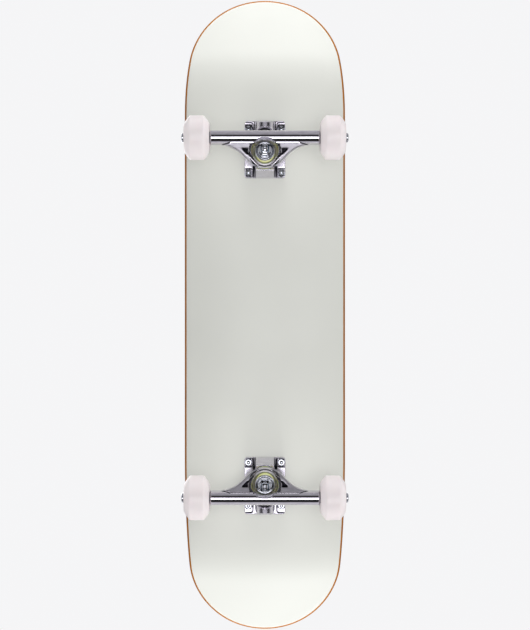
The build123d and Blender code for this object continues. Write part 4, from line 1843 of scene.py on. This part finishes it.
# ---------------------------------------------------------------- wheels
@dataclass
class Wheel:
    """One wheel with its two bearings' outer races. Sizes are in millimetres and match the solids."""

    end: End
    side: Side
    diameter: float = 54.0
    width: float = 31.0
    tread: float = 17.0
    shoulder_drop: float = 6.5
    shoulder_rise: float = 1.8
    lip: float = 1.5
    recess: float = 31.0
    recess_depth: float = 3.0
    core: float = 17.6
    bearing: float = 22.0
    bearing_width: float = 7.0
    spacing: float = 10.0
    race: float = 12.1

    def __post_init__(self) -> None:
        """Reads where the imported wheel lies."""
        self.name = f"{self.end.label}_{self.side.label}"
        low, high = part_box(f"{self.name}_wheel")
        self.at = (low + high) / 2

    @property
    def body(self) -> str:
        """The body that the wheel turns with."""
        return f"{self.name}_wheel_assembly"

    def half_profile(self) -> list[Ring]:
        """Draws half of the poured body's profile.

        Returns:
            Its rings, from the tread's middle round to the core's middle.
        """
        radius, half = self.diameter / 2, self.width / 2
        recess, floor = self.recess / 2, half - self.recess_depth
        corners = (
            (radius, 0.0, 0.0),
            (radius - 0.02, self.tread / 2, 1.8),
            (radius - self.shoulder_drop, half - self.shoulder_rise, 2.4),
            (recess + self.lip, half - 0.02, 0.6),
            (recess, half - 0.02, 0.0),
        )
        seat = self.bearing / 2 + 0.02
        return rounded(corners, 8)[:-1] + [
            (recess + 0.35, half - 0.04),
            (recess, half - 0.3),
            (seat + 1.3, floor + 0.3),
            (seat + 0.9, floor),
            (seat + 0.15, floor),
            (seat, floor - 0.2),
            (seat, self.spacing / 2),
            (self.core / 2, self.spacing / 2),
            (self.core / 2, 0.0),
        ]

    def build(self, finishes: Finishes) -> None:
        """Makes and dresses the wheel and its bearings.

        Args:
            finishes: The board's materials.
        """
        upper = self.half_profile()
        lower = [(ring, -height) for ring, height in reversed(upper[1:-1])]
        name, place = f"{self.name}_poured_wheel", across_frame(self.at)
        tyre = lathe(name, upper + lower, place, 160, finish=finishes.wheel)
        finish_piece(tyre, self.body, "wheel_urethane", f"{self.name}_wheel")
        outer, inner, deep = self.bearing / 2, self.race / 2 + 0.25, self.bearing_width / 2
        edge = outer - 1.6
        ring = (
            (edge, 0.2 - deep, 0.2),
            (outer, -deep, 0.4),
            (outer, deep, 0.4),
            (edge, deep, 0.25),
            (edge, 2.9, 0.1),
            (edge - 1.2, 2.9, 0.1),
            (edge - 1.2, 0.2 - deep, 0.1),
        )
        shield = (
            (inner, -3.2, 0.2),
            (edge - 1.1, -3.2, 0.1),
            (edge - 0.1, 2.9, 0.0),
            (edge - 0.1, 3.15, 0.15),
            (edge - 0.9, 3.25, 0.15),
            (edge - 1.2, 3.05, 0.15),
            (inner + 0.9, 3.05, 0.15),
            (inner, 3.25, 0.15),
        )
        shapes = (("ring", ring, finishes.chrome), ("shield", shield, finishes.shield))
        parts = []
        for way, (name, corners, finish) in product((-1, 1), shapes):
            place = across_frame(self.at, way * (self.spacing + self.bearing_width) / 2, way < 0)
            parts.append(lathe(f"{name}_{way}", rounded(corners), place, finish=finish))
        races = joined(f"{self.name}_outer_race_set", parts)
        finish_piece(races, self.body, "bearing_steel", f"{self.name}_bearing_outer_races")


# ---------------------------------------------------------------- studio
@dataclass
class Panel:
    """A soft light panel that faces the board. Lengths are in metres.

    Its level is its brightness, where 1 is white. A panel that is mirrored shows in metal. Where
    pieces is set, the panel reaches only the pieces whose names end so, and only they throw shadows
    in its light.
    """

    name: str
    at: tuple[float, float, float]
    aim: tuple[float, float, float]
    size: tuple[float, float]
    level: float
    mirrored: bool = False
    tint: tuple[float, float, float] = (1.0, 1.0, 1.0)
    pieces: tuple[str, ...] = ()

    def build(self) -> None:
        """Hangs the panel."""
        light = bpy.data.lights.new(self.name, "AREA")
        light.shape = "RECTANGLE"
        light.size, light.size_y = self.size
        light.energy = self.level * math.pi * self.size[0] * self.size[1]
        light.color = self.tint
        lamp = bpy.data.objects.new(self.name, light)
        bpy.context.scene.collection.objects.link(lamp)
        lamp.location = self.at
        lamp.rotation_euler = (Vector(self.aim) - Vector(self.at)).to_track_quat("-Z", "Y").to_euler()
        lamp.visible_glossy = self.mirrored
        lamp.visible_camera = False
        if self.pieces:
            reached = bpy.data.collections.new(f"{self.name}_reaches")
            for piece in bpy.context.scene.objects:
                if piece.name.endswith(self.pieces):
                    reached.objects.link(piece)
            lamp.light_linking.receiver_collection = reached
            lamp.light_linking.blocker_collection = reached


@dataclass
class Studio:
    """The camera under the board, a pale floor, a plain pale world and soft panels.

    Lengths are in metres. The strips are what the metal mirrors across the board: the angle at which each
    one's colour is reached, 0 straight below and positive towards the nose, and its level, where 1 is white.
    """

    camera_distance: float = 1.55
    board_level: float = 0.08
    view_height: float = 0.79254
    view_middle: tuple[float, float] = (-0.0008806, 0.0001258)
    sensor_mm: float = 24.0
    sight: float = 60.0
    fill: float = 0.28
    backdrop: float = 0.915
    backdrop_blue: float = 1.012
    wall: float = 0.8
    wall_tint: tuple[float, float, float] = (1.0, 0.985, 1.03)
    strips: tuple[tuple[float, float], ...] = (
        (-120, 0.55),
        (-90, 0.7),
        (-72, 0.6),
        (-60, 0.02),
        (-22, 0.02),
        (-17, 4.0),
        (3.9, 4.0),
        (5.4, 0.05),
        (34, 0.05),
        (48, 0.38),
        (110, 0.5),
    )
    flag_edge: tuple[float, float] = (0.28, 0.36)
    flag_level: float = 0.02
    wall_edge: tuple[float, float] = (0.6, 0.8)
    floor_reach: float = 30.0
    floor_fade: tuple[float, float] = (0.4, 3.0)
    floor_glow: float = 0.3

    def camera(self) -> None:
        """Sets a long-lens camera straight under the board, looking up, the nose at the top."""
        data = bpy.data.cameras.new("camera")
        data.sensor_fit = "VERTICAL"
        data.sensor_height = self.sensor_mm
        data.lens = self.sensor_mm * self.camera_distance / self.view_height
        data.clip_end = self.sight
        camera = bpy.data.objects.new("camera", data)
        bpy.context.scene.collection.objects.link(camera)
        right, up = Vector((0, 1, 0)), Vector((1, 0, 0))
        turn = Matrix((right, up, right.cross(up))).transposed()
        place = Vector((*self.view_middle, self.board_level - self.camera_distance))
        camera.matrix_world = Matrix.Translation(place) @ turn.to_4x4()
        bpy.context.scene.camera = camera

    def wall_colour(self, level: float) -> Colour:
        """Gives the studio walls' colour at a level.

        Args:
            level: How bright, where 1 is white.

        Returns:
            The linear colour.
        """
        red, green, blue = (level * share for share in self.wall_tint)
        return red, green, blue, 1.0

    @property
    def backdrop_colour(self) -> Colour:
        """The colour behind the board."""
        return self.backdrop, self.backdrop, self.backdrop * self.backdrop_blue, 1.0

    def world(self) -> None:
        """Makes a pale backdrop for the camera, softer fill light, and strips of a studio for reflections.

        The strips run across the board: from the tail's side a pale wall, a black flag, the white
        panel by the lens, a black flag and a pale wall. To the sides they give way to black flags
        and then to plain wall.
        """
        world = bpy.data.worlds.new("studio")
        bpy.context.scene.world = world
        made = Pattern(world)
        path = add_node(made.tree, "ShaderNodeLightPath").outputs
        way = add_node(made.tree, "ShaderNodeTexCoord").outputs["Generated"]
        ahead, left, up = add_node(made.tree, "ShaderNodeSeparateXYZ", {0: way}).outputs
        turn = made.reckon("ARCTAN2", ahead, made.reckon("MULTIPLY", up, -1.0))
        stops = [(0.5 + degrees / 360, self.wall_colour(level)) for degrees, level in self.strips]
        strips = made.ramp(made.span(turn, 0.0, 1.0, -math.pi, math.pi), stops)
        side = made.reckon("ABSOLUTE", left)
        flagged = made.mix(1.0, strips, made.span(side, 1.0, self.flag_level, *self.flag_edge), "MULTIPLY")
        walls = made.mix(made.span(side, 0.0, 1.0, *self.wall_edge), flagged, self.wall_colour(self.wall))
        shown = made.reckon("MAXIMUM", path["Is Camera Ray"], path["Is Transmission Ray"])
        fill = made.mix(shown, (self.fill, self.fill, self.fill, 1.0), self.backdrop_colour)
        seen = made.mix(path["Is Glossy Ray"], fill, walls)
        shader = add_node(made.tree, "ShaderNodeBackground", {"Color": seen, "Strength": 1.0})
        add_node(made.tree, "ShaderNodeOutputWorld", {"Surface": shader.outputs[0]})

    def floor(self) -> None:
        """Makes a pale floor that melts into the backdrop with distance and is clear from below."""
        mesh = bpy.data.meshes.new("floor")
        reach = self.floor_reach
        corners = [(-reach, -reach, 0), (reach, -reach, 0), (reach, reach, 0), (-reach, reach, 0)]
        mesh.from_pydata(corners, [], [(0, 1, 2, 3)])
        material = bpy.data.materials.new("pale_studio_floor")
        made = Pattern(material)
        tree = made.tree
        behind = add_node(tree, "ShaderNodeNewGeometry").outputs["Backfacing"]
        paint = add_node(tree, "ShaderNodeBsdfDiffuse", {"Color": linear("#f3f3f4")})
        place = add_node(tree, "ShaderNodeTexCoord").outputs["Object"]
        away = add_node(tree, "ShaderNodeVectorMath", {0: place}, operation="LENGTH").outputs["Value"]
        fade = made.span(away, self.floor_glow, 1.0, *self.floor_fade)
        glow = add_node(tree, "ShaderNodeEmission", {"Color": self.backdrop_colour})
        lit = add_node(tree, "ShaderNodeMixShader", {0: fade, 1: paint.outputs[0], 2: glow.outputs[0]})
        clear = add_node(tree, "ShaderNodeBsdfTransparent")
        both = add_node(tree, "ShaderNodeMixShader", {0: behind, 1: lit.outputs[0], 2: clear.outputs[0]})
        add_node(tree, "ShaderNodeOutputMaterial", {"Surface": both.outputs[0]})
        mesh.materials.append(material)
        floor = mesh_object("floor", mesh)
        floor.visible_diffuse = False
        floor.visible_glossy = False
        floor.visible_transmission = False
        floor.visible_shadow = False

    def build(self) -> None:
        """Sets up the camera, the world, the floor and the lights."""
        self.camera()
        self.world()
        self.floor()
        only_deck = {"tint": (0.98, 0.98, 1.06), "pieces": ("pressed_deck",)}
        only_trucks = {"pieces": ("poured_wheel", "cast_hanger", "cast_baseplate", "poured_bushing")}
        panels = (
            Panel("panel_below", (0.0, 0.2, -1.5), (0, 0, 0.08), (0.9, 1.0), 2.75),
            Panel("panel_nose", (1.9, 0.1, -0.32), (0.36, 0, 0.1), (1.2, 0.6), 7.8),
            Panel("panel_tail", (-1.9, 0.1, -0.32), (-0.36, 0, 0.1), (1.2, 0.6), 7.8),
            Panel("panel_nose_low", (3.2, 0.1, -0.5), (0.36, 0, 0.1), (2.2, 1.1), 13.5, **only_deck),
            Panel("panel_tail_low", (-3.2, 0.1, -0.5), (-0.36, 0, 0.1), (2.2, 1.1), 14.9, **only_deck),
            Panel("panel_right_low", (0.0, 1.9, -0.3), (0, 0, 0.05), (2.0, 0.6), 3.3, **only_trucks),
            Panel("panel_left_low", (0.0, -1.9, -0.3), (0, 0, 0.05), (2.0, 0.6), 3.0, **only_trucks),
            Panel("panel_top", (0.3, -0.6, 2.3), (0, 0, 0.05), (2.2, 2.2), 2.0, mirrored=True),
            Panel("panel_right", (0.0, 2.2, 0.5), (0, 0, 0.05), (1.8, 1.0), 0.9),
        )
        for panel in panels:
            panel.build()


def main() -> None:
    """Builds every sub-assembly in order."""
    logging.basicConfig(level=logging.INFO, format="%(name)s: %(message)s")
    bpy.context.scene.view_settings.view_transform = "Standard"
    finishes = Finishes.make()
    trees = Trees(repeat_tree(), thread_tree())
    bolts = BoltSet()
    trucks = [Truck(end) for end in End]
    deck = Deck()
    deck.build(bolts, [truck.middle.x for truck in trucks], finishes)
    for truck in trucks:
        truck.build(finishes, trees)
        top = (deck.base + deck.thickness + deck.grip) * MM
        bolts.build(truck.end, truck.middle, top, truck.middle.z - truck.bolt_seat * MM, finishes, trees)
        for side in Side:
            Wheel(truck.end, side).build(finishes)
    Studio().build()


if __name__ == "__main__":
    main()
